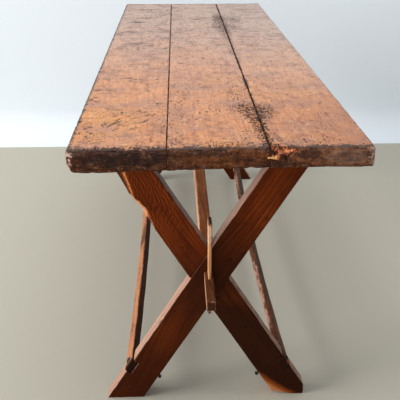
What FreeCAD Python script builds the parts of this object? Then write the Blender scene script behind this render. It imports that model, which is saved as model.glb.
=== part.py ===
import FreeCAD, Part
import math
import os
from collections import namedtuple

Vec = FreeCAD.Vector

# Sawbuck table: three planks on two trestles of crossed legs, tied by a keyed stretcher and two foot rails.
# Millimetres. The origin is on the floor under the middle of the top: X across, Y along the top, Z up.
# The front trestle is at the -Y end, and the rear trestle is its mirror image.

# Top
TABLE_HEIGHT = 760.0
TOP_LENGTH = 2140.0
TOP_THICKNESS = 42.0
LEFT_PLANK_FRONT_WIDTH = 197.5
LEFT_PLANK_REAR_WIDTH = 204.5
MIDDLE_PLANK_FRONT_WIDTH = 202.5
MIDDLE_PLANK_REAR_WIDTH = 200.0
RIGHT_PLANK_FRONT_WIDTH = 209.5
RIGHT_PLANK_REAR_WIDTH = 195.0
LEFT_SEAM = 2.0
RIGHT_SEAM = 3.5
UPPER_EDGE_ROUND = 5.0
LEFT_UNDER_ROUND = 22.0
RIGHT_UNDER_ROUND = 8.0
END_UPPER_ROUND = 7.0
END_UNDER_ROUND = 4.0
CORNER_ROUND = 12.0

# Corner broken off the right plank, beside its seam at the front end
BREAK_WIDTH = 56.0
BREAK_LENGTH = 26.0
BREAK_DEPTH = 28.0

# Trestles
OVERHANG = 240.0
TRESTLE_SHIFT = -11.5
LEG_WIDTH = 80.0
LEG_THICKNESS = 46.0
HEAD_SPREAD = 467.0
FOOT_SPREAD = 437.0
LAP_STEP = 1.5

# Wear on the front leg that climbs to the left: its bark edge, clipped toe and rounded sole
WANE_WIDTH = 14.0
WANE_DEPTH = 22.0
UPPER_WANE_LENGTH = 165.0
LOWER_WANE_LENGTH = 120.0
TOE_CLIP_HEIGHT = 27.0
SOLE_WEAR_HEIGHT = 9.0
SOLE_WEAR_LENGTH = 46.0

# Cleats under the top
CLEAT_SETBACK = 27.5
CLEAT_HEIGHT = 75.0
CLEAT_THICKNESS = 45.0
CLEAT_END_SLANT = 24.0
PEG_DIAMETER = 14.0
PEG_SINK = 30.0
NAIL_WIDTH = 6.0
NAIL_BITE = 26.0
NAIL_HEAD_WIDTH = 13.0
NAIL_HEAD_HEIGHT = 4.0
NAIL_PLACE_SHARES = (0.3, 0.7)

# Stretcher with its through tenons
STRETCHER_THICKNESS = 33.0
STRETCHER_HEIGHT = 72.0
STRETCHER_SHIFT = -1.2
TENON_WIDTH = 21.5
TENON_SHIFT = -1.5
TENON_HEIGHT = 25.0
TENON_RISE = 7.0
TENON_REACH = 147.0
TENON_CHAMFER = 2.5

# Tusk keys
KEY_TIP_THICKNESS = 7.0
KEY_TOP_THICKNESS = 9.5
KEY_TIP_DEPTH = 34.0
KEY_TOP_DEPTH = 42.0
KEY_ABOVE_TENON = 148.0
KEY_BELOW_TENON = 75.0
KEY_BEVEL = 2.5

# Foot rails, bowed inwards between the trestles
RAIL_WIDTH = 36.0
RAIL_THICKNESS = 20.0
LEFT_RAIL_LET_IN = 14.5
RIGHT_RAIL_LET_IN = 19.0
LEFT_RAIL_BOW = 10.0
RIGHT_RAIL_BOW = 15.0
LEFT_RAIL_CLIMB = 115.0
RIGHT_RAIL_CLIMB = 120.0
SPIKE_WIDTH = 7.0
SPIKE_HEAD_WIDTH = 15.0
SPIKE_HEAD_HEIGHT = 4.0
SPIKE_NECK_WIDTH = 4.5
SPIKE_NECK_LENGTH = 7.0
SPIKE_BURR_WIDTH = 8.5
SPIKE_BURR_LENGTH = 5.5

# Forged heads narrow to a crown, and the hammered burr of a spike to its end, as shares of their widths
HEAD_CROWN_SHARE = 0.35
BURR_END_SHARE = 0.7

# Fits: wood joints that stay put, and the keys that slide
JOINT_FIT = 0.2
KEY_FIT = 0.3

# Cuts run past what they cut by the overrun, and shallow ones start just outside the face
OVERRUN = 20.0
FACE_LIFT = 0.2

# Places that follow from the sizes above
SEAMS = LEFT_SEAM + RIGHT_SEAM
FRONT_WIDTH = LEFT_PLANK_FRONT_WIDTH + MIDDLE_PLANK_FRONT_WIDTH + RIGHT_PLANK_FRONT_WIDTH + SEAMS
REAR_WIDTH = LEFT_PLANK_REAR_WIDTH + MIDDLE_PLANK_REAR_WIDTH + RIGHT_PLANK_REAR_WIDTH + SEAMS
TOP_WIDTH = max(FRONT_WIDTH, REAR_WIDTH)
CLEAT_LENGTH = TOP_WIDTH - 2 * CLEAT_SETBACK
UNDERSIDE = TABLE_HEIGHT - TOP_THICKNESS
LEFT_SIDE = -TOP_WIDTH / 2
FRONT_END = -TOP_LENGTH / 2
OUTER_FACE = FRONT_END + OVERHANG
INNER_FACE = OUTER_FACE + LEG_THICKNESS
LEAN = math.atan2((HEAD_SPREAD + FOOT_SPREAD) / 2, UNDERSIDE)
LEVEL_WIDTH = LEG_WIDTH / math.cos(LEAN)
CROSSING = UNDERSIDE * FOOT_SPREAD / (FOOT_SPREAD + HEAD_SPREAD)
TENON_TOP = CROSSING + TENON_RISE + TENON_HEIGHT / 2
TENON_BOTTOM = TENON_TOP - TENON_HEIGHT
STRETCHER_LINE = TRESTLE_SHIFT + STRETCHER_SHIFT
TENON_LINE = STRETCHER_LINE + TENON_SHIFT
UP = Vec(0, 0, 1)
BACK = Vec(0, 1, 0)

# The two rails: side is -1 on the left and 1 on the right, climb is how far up the leg's edge a rail lies.
Rail = namedtuple("Rail", "side climb let_in bow")
RAILS = {
    "left": Rail(-1, LEFT_RAIL_CLIMB, LEFT_RAIL_LET_IN, LEFT_RAIL_BOW),
    "right": Rail(1, RIGHT_RAIL_CLIMB, RIGHT_RAIL_LET_IN, RIGHT_RAIL_BOW),
}


def box(low, high):
    """Box between two opposite corners, each given as (x, y, z)."""
    size = [top - bottom for bottom, top in zip(low, high)]
    return Part.makeBox(*size, Vec(*low))


def polygon_prism(points, along):
    """Closed outline of straight sides, pushed along a vector."""
    wire = Part.makePolygon(points + points[:1])
    return Part.Face(wire).extrude(along)


def spire(points, tip):
    """Closed outline of straight sides, drawn together to a point."""
    wire = Part.makePolygon(points + points[:1])
    return Part.makeLoft([wire, Part.Vertex(tip)], True, True)


def rounded_face(low, high, radii, place):
    """Rectangle with a radius for each corner, starting at the low one. place(u, v) puts points in space."""
    bend = 1 - math.cos(math.pi / 4)
    corners = (
        (low[0], low[1], 0, 1, 1, 0),
        (high[0], low[1], -1, 0, 0, 1),
        (high[0], high[1], 0, -1, -1, 0),
        (low[0], high[1], 1, 0, 0, -1),
    )
    arcs = []
    for (u, v, in_u, in_v, out_u, out_v), radius in zip(corners, radii):
        start = place(u + in_u * radius, v + in_v * radius)
        middle = place(u + (in_u + out_u) * bend * radius, v + (in_v + out_v) * bend * radius)
        end = place(u + out_u * radius, v + out_v * radius)
        arcs.append(Part.Arc(start, middle, end))
    edges = []
    for arc, following in zip(arcs, arcs[1:] + arcs[:1]):
        edges.append(arc.toShape())
        edges.append(Part.makeLine(arc.EndPoint, following.StartPoint))
    return Part.Face(Part.Wire(edges))


def to_rear(shape):
    """Mirror image at the other end of the table."""
    return shape.mirror(Vec(0, 0, 0), BACK)


def at_both_ends(shapes):
    """Shapes of the front trestle, together with their mirror images."""
    return shapes + [to_rear(shape) for shape in shapes]


def square_bar(start, direction, length, width, end_width):
    """Square bar from a point, tapering to its end. Two of its sides face along the table."""
    half = width / 2
    end = end_width / 2
    bar = Part.makeWedge(-half, 0, -half, -end, -end, half, length, half, end, end)
    turn = FreeCAD.Rotation(BACK, direction, BACK.cross(direction), "YXZ")
    bar.Placement = FreeCAD.Placement(start, turn)
    return bar


def forged_head(seat, out, width, height):
    """Head of a hand-forged nail or spike: four hammered slopes that rise to a small crown."""
    return square_bar(seat, out, height, width, width * HEAD_CROWN_SHARE)


# Top planks

def plank_sides(y):
    """Left and right side of each plank at y. The planks taper from end to end."""
    share = (y - FRONT_END) / TOP_LENGTH
    widths = (
        (LEFT_PLANK_FRONT_WIDTH, LEFT_PLANK_REAR_WIDTH, LEFT_SEAM),
        (MIDDLE_PLANK_FRONT_WIDTH, MIDDLE_PLANK_REAR_WIDTH, RIGHT_SEAM),
        (RIGHT_PLANK_FRONT_WIDTH, RIGHT_PLANK_REAR_WIDTH, 0),
    )
    sides = []
    left = LEFT_SIDE
    for front, rear, seam in widths:
        right = left + front + (rear - front) * share
        sides.append((left, right))
        left = right + seam
    return sides


def worn_slab():
    """The top before the seams part it, rounded by wear on every edge. Its right side follows the taper."""
    front_right = plank_sides(FRONT_END)[-1][1]
    rear_right = plank_sides(-FRONT_END)[-1][1]
    left_profile = rounded_face(
        (LEFT_SIDE, UNDERSIDE), (-LEFT_SIDE + OVERRUN, TABLE_HEIGHT),
        (LEFT_UNDER_ROUND, RIGHT_UNDER_ROUND, UPPER_EDGE_ROUND, UPPER_EDGE_ROUND),
        lambda u, v: Vec(u, FRONT_END, v))
    right_profile = rounded_face(
        (LEFT_SIDE - TOP_WIDTH, UNDERSIDE), (front_right, TABLE_HEIGHT),
        (LEFT_UNDER_ROUND, RIGHT_UNDER_ROUND, UPPER_EDGE_ROUND, UPPER_EDGE_ROUND),
        lambda u, v: Vec(u, FRONT_END, v))
    end_profile = rounded_face(
        (FRONT_END, UNDERSIDE), (-FRONT_END, TABLE_HEIGHT),
        (END_UNDER_ROUND, END_UNDER_ROUND, END_UPPER_ROUND, END_UPPER_ROUND),
        lambda u, v: Vec(LEFT_SIDE - OVERRUN, u, v))
    corners = [
        Vec(LEFT_SIDE, FRONT_END, UNDERSIDE),
        Vec(front_right, FRONT_END, UNDERSIDE),
        Vec(rear_right, -FRONT_END, UNDERSIDE),
        Vec(LEFT_SIDE, -FRONT_END, UNDERSIDE),
    ]
    plan = polygon_prism(corners, UP * TOP_THICKNESS)
    upright = [edge for edge in plan.Edges if edge.BoundBox.ZLength > TOP_THICKNESS / 2]
    slab = plan.makeFillet(CORNER_ROUND, upright)
    slab = slab.common(left_profile.extrude(BACK * TOP_LENGTH))
    slab = slab.common(right_profile.extrude(Vec(rear_right - front_right, TOP_LENGTH, 0)))
    return slab.common(end_profile.extrude(Vec(TOP_WIDTH + 2 * OVERRUN, 0, 0)))


def seam(left_plank):
    """The gap between a plank, counted from the left, and the one on its right."""
    base = UNDERSIDE - OVERRUN
    points = []
    for y in (FRONT_END - OVERRUN, OVERRUN - FRONT_END):
        sides = plank_sides(y)
        ends = [Vec(sides[left_plank][1], y, base), Vec(sides[left_plank + 1][0], y, base)]
        points += ends if y < 0 else ends[::-1]
    return polygon_prism(points, UP * (TOP_THICKNESS + 2 * OVERRUN))


def planks():
    """The three planks, from left to right."""
    strips = worn_slab().cut([seam(0), seam(1)]).Solids
    return sorted(strips, key=lambda strip: strip.CenterOfMass.x)


def broken_corner():
    """What broke off the right plank: a three-sided chip at its front corner beside the seam."""
    corner = Vec(plank_sides(FRONT_END)[-1][0], FRONT_END, TABLE_HEIGHT)
    outline = [corner, corner + Vec(BREAK_WIDTH, 0, 0), corner + Vec(0, BREAK_LENGTH, 0)]
    return spire(outline, corner - UP * BREAK_DEPTH)


# Trestle legs

def leg_board(climb, outer):
    """Slanted board, cut level at floor and head. climb is 1 for a leg that climbs to the right, else -1."""
    foot = TRESTLE_SHIFT - climb * FOOT_SPREAD / 2
    head = TRESTLE_SHIFT + climb * HEAD_SPREAD / 2
    half = LEVEL_WIDTH / 2
    points = [
        Vec(foot - half, outer, 0),
        Vec(foot + half, outer, 0),
        Vec(head + half, outer, UNDERSIDE),
        Vec(head - half, outer, UNDERSIDE),
    ]
    return polygon_prism(points, Vec(0, INNER_FACE - outer, 0))


def lapped_legs():
    """The front pair, halved into each other where they cross, and mortised there for the stretcher."""
    right = leg_board(1, OUTER_FACE)
    left = leg_board(-1, OUTER_FACE + LAP_STEP)
    crossing = right.common(left)
    lap = OUTER_FACE + LEG_THICKNESS / 2
    low = (LEFT_SIDE, lap, 0)
    high = (-LEFT_SIDE, INNER_FACE + OVERRUN, UNDERSIDE)
    inner_half = crossing.common(box(low, high))
    right = right.cut(inner_half)
    left = left.cut(crossing.cut(inner_half))
    low = (TENON_LINE - TENON_WIDTH / 2 - JOINT_FIT, OUTER_FACE - OVERRUN, TENON_BOTTOM - JOINT_FIT)
    high = (TENON_LINE + TENON_WIDTH / 2 + JOINT_FIT, INNER_FACE + OVERRUN, TENON_TOP + JOINT_FIT)
    mortise = box(low, high)
    return left.cut(mortise), right.cut(mortise)


def edge_point(drop, inwards, depth):
    """Point by the left-climbing leg's lower edge: down from its head, in from the edge, behind the face."""
    head = Vec(TRESTLE_SHIFT - HEAD_SPREAD / 2 - LEVEL_WIDTH / 2, OUTER_FACE + LAP_STEP, UNDERSIDE)
    down = Vec(math.sin(LEAN), 0, -math.cos(LEAN))
    across = Vec(math.cos(LEAN), 0, math.sin(LEAN))
    return head + down * drop + across * inwards + BACK * depth


def wane(start, widest, end):
    """Sliver missing along the bark edge: nothing at its two ends, three-sided where it is widest."""
    section = [
        edge_point(widest, -FACE_LIFT, -FACE_LIFT),
        edge_point(widest, WANE_WIDTH, -FACE_LIFT),
        edge_point(widest, -FACE_LIFT, WANE_DEPTH),
    ]
    halves = [spire(section, edge_point(place, -FACE_LIFT, -FACE_LIFT)) for place in (start, end)]
    return halves[0].fuse(halves[1])


def worn_leg(leg):
    """Front left-climbing leg with its bark edge, its toe clipped upright and the inside of its sole worn."""
    leg = leg.cut(wane(-UPPER_WANE_LENGTH, 0, UPPER_WANE_LENGTH))
    lowest = UPPER_WANE_LENGTH + LOWER_WANE_LENGTH
    leg = leg.cut(wane(UPPER_WANE_LENGTH, (UPPER_WANE_LENGTH + lowest) / 2, lowest))
    toe = TRESTLE_SHIFT + FOOT_SPREAD / 2 + LEVEL_WIDTH / 2
    clip = toe - TOE_CLIP_HEIGHT * math.tan(LEAN)
    low = (clip, OUTER_FACE - OVERRUN, -OVERRUN)
    high = (toe + OVERRUN, INNER_FACE + OVERRUN, TOE_CLIP_HEIGHT)
    leg = leg.cut(box(low, high))
    heel = toe - LEVEL_WIDTH
    slope = SOLE_WEAR_HEIGHT / SOLE_WEAR_LENGTH
    points = [
        Vec(heel - OVERRUN, OUTER_FACE - OVERRUN, 0),
        Vec(heel + SOLE_WEAR_LENGTH, OUTER_FACE - OVERRUN, 0),
        Vec(heel - OVERRUN, OUTER_FACE - OVERRUN, SOLE_WEAR_HEIGHT + OVERRUN * slope),
    ]
    return leg.cut(polygon_prism(points, Vec(0, LEG_THICKNESS + 2 * OVERRUN, 0)))


# Cleats, their nails into the planks and the pegs through the leg heads

def cleat():
    """Batten behind the front legs, with its lower corners cut back on the slant."""
    half = CLEAT_LENGTH / 2
    points = [
        Vec(-half, INNER_FACE, UNDERSIDE),
        Vec(half, INNER_FACE, UNDERSIDE),
        Vec(half - CLEAT_END_SLANT, INNER_FACE, UNDERSIDE - CLEAT_HEIGHT),
        Vec(CLEAT_END_SLANT - half, INNER_FACE, UNDERSIDE - CLEAT_HEIGHT),
    ]
    return polygon_prism(points, Vec(0, CLEAT_THICKNESS, 0))


def nail_seat(x):
    """Where the head of a nail lies against the front cleat's lower face."""
    return Vec(x, INNER_FACE + CLEAT_THICKNESS / 2, UNDERSIDE - CLEAT_HEIGHT)


def nail_shank(x, margin):
    """Square shank up through the front cleat into a plank. margin widens it into its hole."""
    width = NAIL_WIDTH + 2 * margin
    length = CLEAT_HEIGHT + NAIL_BITE + 2 * margin
    return square_bar(nail_seat(x) - UP * margin, UP, length, width, width)


def nail(x):
    """Forged nail with its head under the front cleat."""
    head = forged_head(nail_seat(x), -UP, NAIL_HEAD_WIDTH, NAIL_HEAD_HEIGHT)
    return nail_shank(x, 0).fuse(head)


def nail_places():
    """Where the nails of one cleat stand across the top, a pair under each plank."""
    return [left + share * (right - left) for left, right in plank_sides(0) for share in NAIL_PLACE_SHARES]


def peg(climb, margin):
    """Round peg through a front leg's head into the cleat, flush with that leg's face."""
    height = UNDERSIDE - CLEAT_HEIGHT / 2
    x = TRESTLE_SHIFT + climb * (HEAD_SPREAD / 2 - CLEAT_HEIGHT / 2 * math.tan(LEAN))
    face = OUTER_FACE if climb > 0 else OUTER_FACE + LAP_STEP
    start = Vec(x, face - margin, height)
    length = INNER_FACE + PEG_SINK - face + 2 * margin
    return Part.makeCylinder(PEG_DIAMETER / 2 + margin, length, start, BACK)


# Stretcher and tusk keys

def key(margin):
    """Front tusk key, tapered both ways, against the leg's face. margin widens it into its mortise."""
    tip = TENON_BOTTOM - KEY_BELOW_TENON
    top = TENON_TOP + KEY_ABOVE_TENON
    back = OUTER_FACE - KEY_FIT
    stages = (
        (tip, KEY_TIP_THICKNESS, KEY_TIP_DEPTH, KEY_BEVEL),
        (tip + KEY_BEVEL, KEY_TIP_THICKNESS, KEY_TIP_DEPTH, 0),
        (top - KEY_BEVEL, KEY_TOP_THICKNESS, KEY_TOP_DEPTH, 0),
        (top, KEY_TOP_THICKNESS, KEY_TOP_DEPTH, KEY_BEVEL),
    )
    wires = []
    for height, thickness, depth, bevel in stages:
        half = thickness / 2 - bevel + margin
        near = back - depth + bevel - margin
        far = back - bevel + margin
        corners = [(-half, near), (half, near), (half, far), (-half, far)]
        points = [Vec(STRETCHER_LINE + x, y, height) for x, y in corners]
        wires.append(Part.makePolygon(points + points[:1]))
    return Part.makeLoft(wires, True, True)


def tenon():
    """Front through tenon, its end eased all round."""
    end = OUTER_FACE - TENON_REACH
    low = (TENON_LINE - TENON_WIDTH / 2, end, TENON_BOTTOM)
    high = (TENON_LINE + TENON_WIDTH / 2, INNER_FACE, TENON_TOP)
    bar = box(low, high)
    end_edges = [edge for edge in bar.Edges if edge.BoundBox.YMax < end + TENON_CHAMFER]
    return bar.makeChamfer(TENON_CHAMFER, end_edges)


def stretcher():
    """Board on edge between the trestles, with a keyed tenon at each end."""
    low = (STRETCHER_LINE - STRETCHER_THICKNESS / 2, INNER_FACE, CROSSING - STRETCHER_HEIGHT / 2)
    high = (STRETCHER_LINE + STRETCHER_THICKNESS / 2, -INNER_FACE, CROSSING + STRETCHER_HEIGHT / 2)
    front = tenon().cut(key(KEY_FIT))
    return box(low, high).fuse([front, to_rear(front)]).removeSplitter()


# Foot rails and their spikes

def bow_radius(rail):
    """Radius of a rail's bow, from its rise over the distance between the trestles' outer faces."""
    return (OUTER_FACE ** 2 + rail.bow ** 2) / (2 * rail.bow)


def rail_frame(rail, y):
    """Centre of a rail's section at y, with its directions up the leg and out of the leg's upper edge."""
    up_leg = Vec(-rail.side * math.sin(LEAN), 0, math.cos(LEAN))
    out = Vec(rail.side * math.cos(LEAN), 0, math.sin(LEAN))
    toe = Vec(TRESTLE_SHIFT + rail.side * (FOOT_SPREAD + LEVEL_WIDTH) / 2, y, 0)
    radius = bow_radius(rail)
    bow = math.sqrt(radius ** 2 - y ** 2) - math.sqrt(radius ** 2 - OUTER_FACE ** 2)
    centre = toe + up_leg * rail.climb - out * (rail.let_in - RAIL_THICKNESS / 2)
    turn = FreeCAD.Rotation(UP, -rail.side * math.degrees(math.asin(y / radius)))
    return centre - Vec(rail.side * bow, 0, 0), turn.multVec(up_leg), turn.multVec(out)


def bowed_stick(rail, margin, lift):
    """Bowed stick between the trestles' outer faces. margin widens it all round, and lift only outwards."""
    centre, up_leg, out = rail_frame(rail, 0)
    half_width = up_leg * (RAIL_WIDTH / 2 + margin)
    inner = out * (RAIL_THICKNESS / 2 + margin)
    outer = inner + out * lift
    points = [
        centre - half_width - inner,
        centre + half_width - inner,
        centre + half_width + outer,
        centre - half_width + outer,
    ]
    section = Part.Face(Part.makePolygon(points + points[:1]))
    radius = bow_radius(rail)
    pivot = centre + Vec(rail.side * radius, 0, 0)
    reach = math.degrees(math.asin((OVERRUN - OUTER_FACE) / (radius - RAIL_WIDTH - lift)))
    section.rotate(pivot, UP, -reach)
    stick = section.revolve(pivot, UP, 2 * reach)
    end = OUTER_FACE - margin
    return stick.common(box((LEFT_SIDE, end, -OVERRUN), (-LEFT_SIDE, -end, UNDERSIDE)))


def rail_housing(rail):
    """What a rail's seat takes out of the legs, open at their upper edges."""
    return bowed_stick(rail, JOINT_FIT, OVERRUN)


def spike_seat(rail):
    """Where a front spike's head lies on its rail, and the direction out of the rail."""
    centre, _, out = rail_frame(rail, OUTER_FACE + LEG_THICKNESS / 2)
    return centre + out * (RAIL_THICKNESS / 2), out


def spike_depth(rail):
    """How far a spike runs inside the wood, from its head to the foot's lower edge."""
    return RAIL_THICKNESS - rail.let_in + LEG_WIDTH


def spike_hole(rail):
    """Square hole for a spike, right through its rail and foot."""
    seat, out = spike_seat(rail)
    width = SPIKE_WIDTH + 2 * JOINT_FIT
    return square_bar(seat + out * OVERRUN, -out, spike_depth(rail) + 2 * OVERRUN, width, width)


def spike(rail):
    """Forged spike: its head on the rail, a thin neck under the foot and a hammered burr at its end."""
    seat, out = spike_seat(rail)
    under = seat - out * spike_depth(rail)
    neck_end = under - out * SPIKE_NECK_LENGTH
    shank = square_bar(seat, -out, spike_depth(rail), SPIKE_WIDTH, SPIKE_WIDTH)
    head = forged_head(seat, out, SPIKE_HEAD_WIDTH, SPIKE_HEAD_HEIGHT)
    neck = square_bar(under, -out, SPIKE_NECK_LENGTH, SPIKE_NECK_WIDTH, SPIKE_NECK_WIDTH)
    burr = square_bar(neck_end, -out, SPIKE_BURR_LENGTH, SPIKE_BURR_WIDTH, SPIKE_BURR_WIDTH * BURR_END_SHARE)
    return shank.fuse([head, neck, burr])


# Assembly

def front_trestle(nail_holes, spike_holes):
    """The pieces of the front trestle by name, before wear."""
    left_leg, right_leg = lapped_legs()
    pegs = {"left": -1, "right": 1}
    peg_holes = [peg(climb, JOINT_FIT) for climb in pegs.values()]
    cuts = [rail_housing(rail) for rail in RAILS.values()] + spike_holes + peg_holes
    pieces = {
        "leg_climbing_left": left_leg.cut(cuts),
        "leg_climbing_right": right_leg.cut(cuts),
        "cleat": cleat().cut(nail_holes + peg_holes),
        "cleat_nails": Part.makeCompound([nail(x) for x in nail_places()]),
        "tusk_key": key(0),
    }
    for name, climb in pegs.items():
        pieces[name + "_peg"] = peg(climb, 0)
    for name, rail in RAILS.items():
        pieces[name + "_rail_spike"] = spike(rail)
    return pieces


def table():
    """Every piece by name, in its place."""
    nail_holes = [nail_shank(x, JOINT_FIT) for x in nail_places()]
    spike_holes = [spike_hole(rail) for rail in RAILS.values()]
    pieces = {}
    for name, shape in front_trestle(nail_holes, spike_holes).items():
        pieces["front_" + name] = shape
        pieces["rear_" + name] = to_rear(shape)
    pieces["front_leg_climbing_left"] = worn_leg(pieces["front_leg_climbing_left"])
    for name, shape in zip(("left", "middle", "right"), planks()):
        pieces["top_plank_" + name] = shape.cut(at_both_ends(nail_holes))
    pieces["top_plank_right"] = pieces["top_plank_right"].cut(broken_corner())
    for name, rail in RAILS.items():
        pieces[name + "_rail"] = bowed_stick(rail, 0, 0).cut(at_both_ends(spike_holes))
    pieces["stretcher"] = stretcher()
    return pieces


os.makedirs("parts", exist_ok=True)
for node, solid in table().items():
    solid.exportStep("parts/" + node + ".step")
    print(node, len(solid.Solids), solid.isValid(), round(solid.Volume))
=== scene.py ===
# %% [markdown]
# # Dressing a sawbuck table
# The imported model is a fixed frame: planks, crossed legs, rails, a stretcher and two keys, each in its place.
# This lesson keeps those places and gives every piece what use has given the real one: rubbed arrises, dents,
# stains, a bark edge, and wood that looks different on its face, its edge and its end.

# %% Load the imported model
import math

import bmesh
import bpy
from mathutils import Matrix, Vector, noise


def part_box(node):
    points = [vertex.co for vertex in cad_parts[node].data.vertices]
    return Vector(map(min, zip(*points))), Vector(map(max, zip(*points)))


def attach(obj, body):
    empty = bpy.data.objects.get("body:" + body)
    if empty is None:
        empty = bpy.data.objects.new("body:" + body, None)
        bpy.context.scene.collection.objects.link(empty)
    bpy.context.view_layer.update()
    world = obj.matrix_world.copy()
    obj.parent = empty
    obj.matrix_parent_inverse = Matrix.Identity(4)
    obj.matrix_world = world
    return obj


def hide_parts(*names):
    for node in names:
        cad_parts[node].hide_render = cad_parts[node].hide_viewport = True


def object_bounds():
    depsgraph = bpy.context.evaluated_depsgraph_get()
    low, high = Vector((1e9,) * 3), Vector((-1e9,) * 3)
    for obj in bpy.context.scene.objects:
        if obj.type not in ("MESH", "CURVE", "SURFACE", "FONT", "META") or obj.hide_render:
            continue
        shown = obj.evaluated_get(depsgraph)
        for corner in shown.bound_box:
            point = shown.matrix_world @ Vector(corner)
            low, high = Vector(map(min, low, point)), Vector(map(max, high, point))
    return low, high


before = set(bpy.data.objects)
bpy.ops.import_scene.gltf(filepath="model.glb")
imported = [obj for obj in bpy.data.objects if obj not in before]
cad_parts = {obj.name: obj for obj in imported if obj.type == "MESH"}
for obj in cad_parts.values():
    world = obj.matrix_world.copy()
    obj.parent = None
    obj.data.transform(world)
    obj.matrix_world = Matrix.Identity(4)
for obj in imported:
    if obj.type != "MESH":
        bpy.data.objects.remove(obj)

cad_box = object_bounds()

# %% [markdown]
# ## Camera
# The photograph was taken from the near end, a little left of the middle and looking down. A lens is set by
# its focal length against a 36 mm sensor, and a camera in Blender looks along its own -Z axis, so it is first
# raised to the horizon and then tipped down by the pitch. A constraint could aim it at the table instead, but
# plain angles repeat the view that was measured.

# %% Camera
EYE = (-0.0902, -2.4629, 1.2219)
PITCH = math.radians(22.15)
YAW = math.radians(1.93)
SENSOR_MM = 36.0
FOCAL_MM = 67.5

lens = bpy.data.cameras.new("camera")
lens.sensor_width = SENSOR_MM
lens.lens = FOCAL_MM
camera = bpy.data.objects.new("camera", lens)
camera.location = EYE
camera.rotation_euler = (math.pi / 2 - PITCH, 0, -YAW)
bpy.context.scene.collection.objects.link(camera)
bpy.context.scene.camera = camera
bpy.context.scene.view_settings.view_transform = "Standard"
print("camera at", EYE, "with a lens of", FOCAL_MM, "mm")

# %% [markdown]
# ## Adding nodes
# A material is a graph of nodes. It could be drawn by hand in the editor, but code makes the same graph every
# time. These helpers add a node, fill its sockets with links or plain values, and do arithmetic on numbers
# and on places in space. Colours are written as they look on a screen, from 0 to 255, and turned into the
# linear values of light.

# %% Adding nodes
def tone(*levels):
    linear = [(v / 255 / 12.92) if v < 11 else ((v / 255 + 0.055) / 1.055) ** 2.4 for v in levels]
    return (*linear, 1.0)


def feed(tree, socket, value):
    if isinstance(value, bpy.types.NodeSocket):
        tree.links.new(value, socket)
    else:
        socket.default_value = value


def add_node(tree, kind, sockets=(), **settings):
    made = tree.nodes.new("ShaderNode" + kind)
    for name, value in settings.items():
        setattr(made, name, value)
    for name, value in dict(sockets).items():
        feed(tree, made.inputs[name], value)
    return made


def operate(tree, kind, operation, values):
    made = add_node(tree, kind, operation=operation)
    for socket, value in zip(made.inputs, values):
        feed(tree, socket, value)
    return made.outputs


def calc(tree, operation, *values):
    """Arithmetic on numbers."""
    return operate(tree, "Math", operation, values)[0]


def place_calc(tree, operation, *values):
    """Arithmetic on places, axis by axis."""
    return operate(tree, "VectorMath", operation, values)[0]


def split(tree, place):
    """The X, Y and Z of a place."""
    return add_node(tree, "SeparateXYZ", {"Vector": place}).outputs


print("mid grey as light:", round(tone(128, 128, 128)[0], 3))

# %% [markdown]
# ## Masks and colours
# Most of a finish is one colour laid over another where a mask says so. A mask could be a painted image, but
# here it is soft noise eased between two limits, or a value that the mesh carries point by point, so it needs
# no file. The commonest step gets a helper of its own: lay a colour over another where a mask is, and cover
# it by no more than a given amount.

# %% Masks and colours
def ease(tree, value, low, high):
    """0 at low and 1 at high, with a smooth passage between."""
    sockets = {"Value": value, "From Min": low, "From Max": high}
    return add_node(tree, "MapRange", sockets, interpolation_type="SMOOTHSTEP").outputs["Result"]


def mix(tree, amount, under, over, blend="MIX"):
    made = add_node(tree, "Mix", data_type="RGBA", blend_type=blend)
    for socket, value in ((made.inputs[0], amount), (made.inputs[6], under), (made.inputs[7], over)):
        feed(tree, socket, value)
    return made.outputs[2]


def lay(tree, under, over, mask, amount):
    return mix(tree, calc(tree, "MULTIPLY", mask, amount), under, over)


def ramp(tree, value, stops):
    """Colours at places from 0 to 1, blended between."""
    made = add_node(tree, "ValToRGB", {"Fac": value})
    elements = made.color_ramp.elements
    for place, colour in stops[1:-1]:
        elements.new(place).color = colour
    elements[0].position, elements[0].color = stops[0]
    elements[-1].position, elements[-1].color = stops[-1]
    return made.outputs["Color"]


def cloud(tree, place, per_metre, detail=2.0, roughness=0.5):
    """Soft noise with so many features per metre along each axis."""
    scaled = place_calc(tree, "MULTIPLY", place, per_metre)
    sockets = {"Vector": scaled, "Scale": 1.0, "Detail": detail, "Roughness": roughness}
    return add_node(tree, "TexNoise", sockets).outputs["Fac"]


def patchy(tree, place, per_metre, low, high, detail=2.0, roughness=0.5):
    """A mask of patches, cut out of soft noise."""
    return ease(tree, cloud(tree, place, per_metre, detail, roughness), low, high)


def painted(tree, name):
    """A mask that the mesh carries point by point."""
    return add_node(tree, "Attribute", attribute_name=name).outputs["Fac"]


print("helpers for masks and colours are ready")

# %% [markdown]
# ## Floor
# The stage is one sheet that runs along the floor and curves up behind the table, grey below and nearly white
# above. Two planes would do, but a curve leaves no dark corner behind the table. It is made by extruding an
# edge, spinning it a quarter turn and extruding it again. The sheet vanishes when it is seen from its back,
# so the table can be looked at from every side.

# %% Material of the sheet
def sheet_material(name, colour):
    made = bpy.data.materials.new(name)
    made.use_nodes = True
    tree = made.node_tree
    shader = tree.nodes["Principled BSDF"].inputs
    shader["Base Color"].default_value = colour
    shader["Roughness"].default_value = 0.9
    shader["Specular IOR Level"].default_value = 0.2
    from_back = add_node(tree, "NewGeometry").outputs["Backfacing"]
    feed(tree, shader["Alpha"], calc(tree, "SUBTRACT", 1.0, from_back))
    return made


SHEET_FINISHES = [sheet_material("pale_floor", tone(184, 179, 164)),
                  sheet_material("white_backdrop", tone(232, 239, 245))]
print("sheet finishes:", [finish.name for finish in SHEET_FINISHES])

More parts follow.
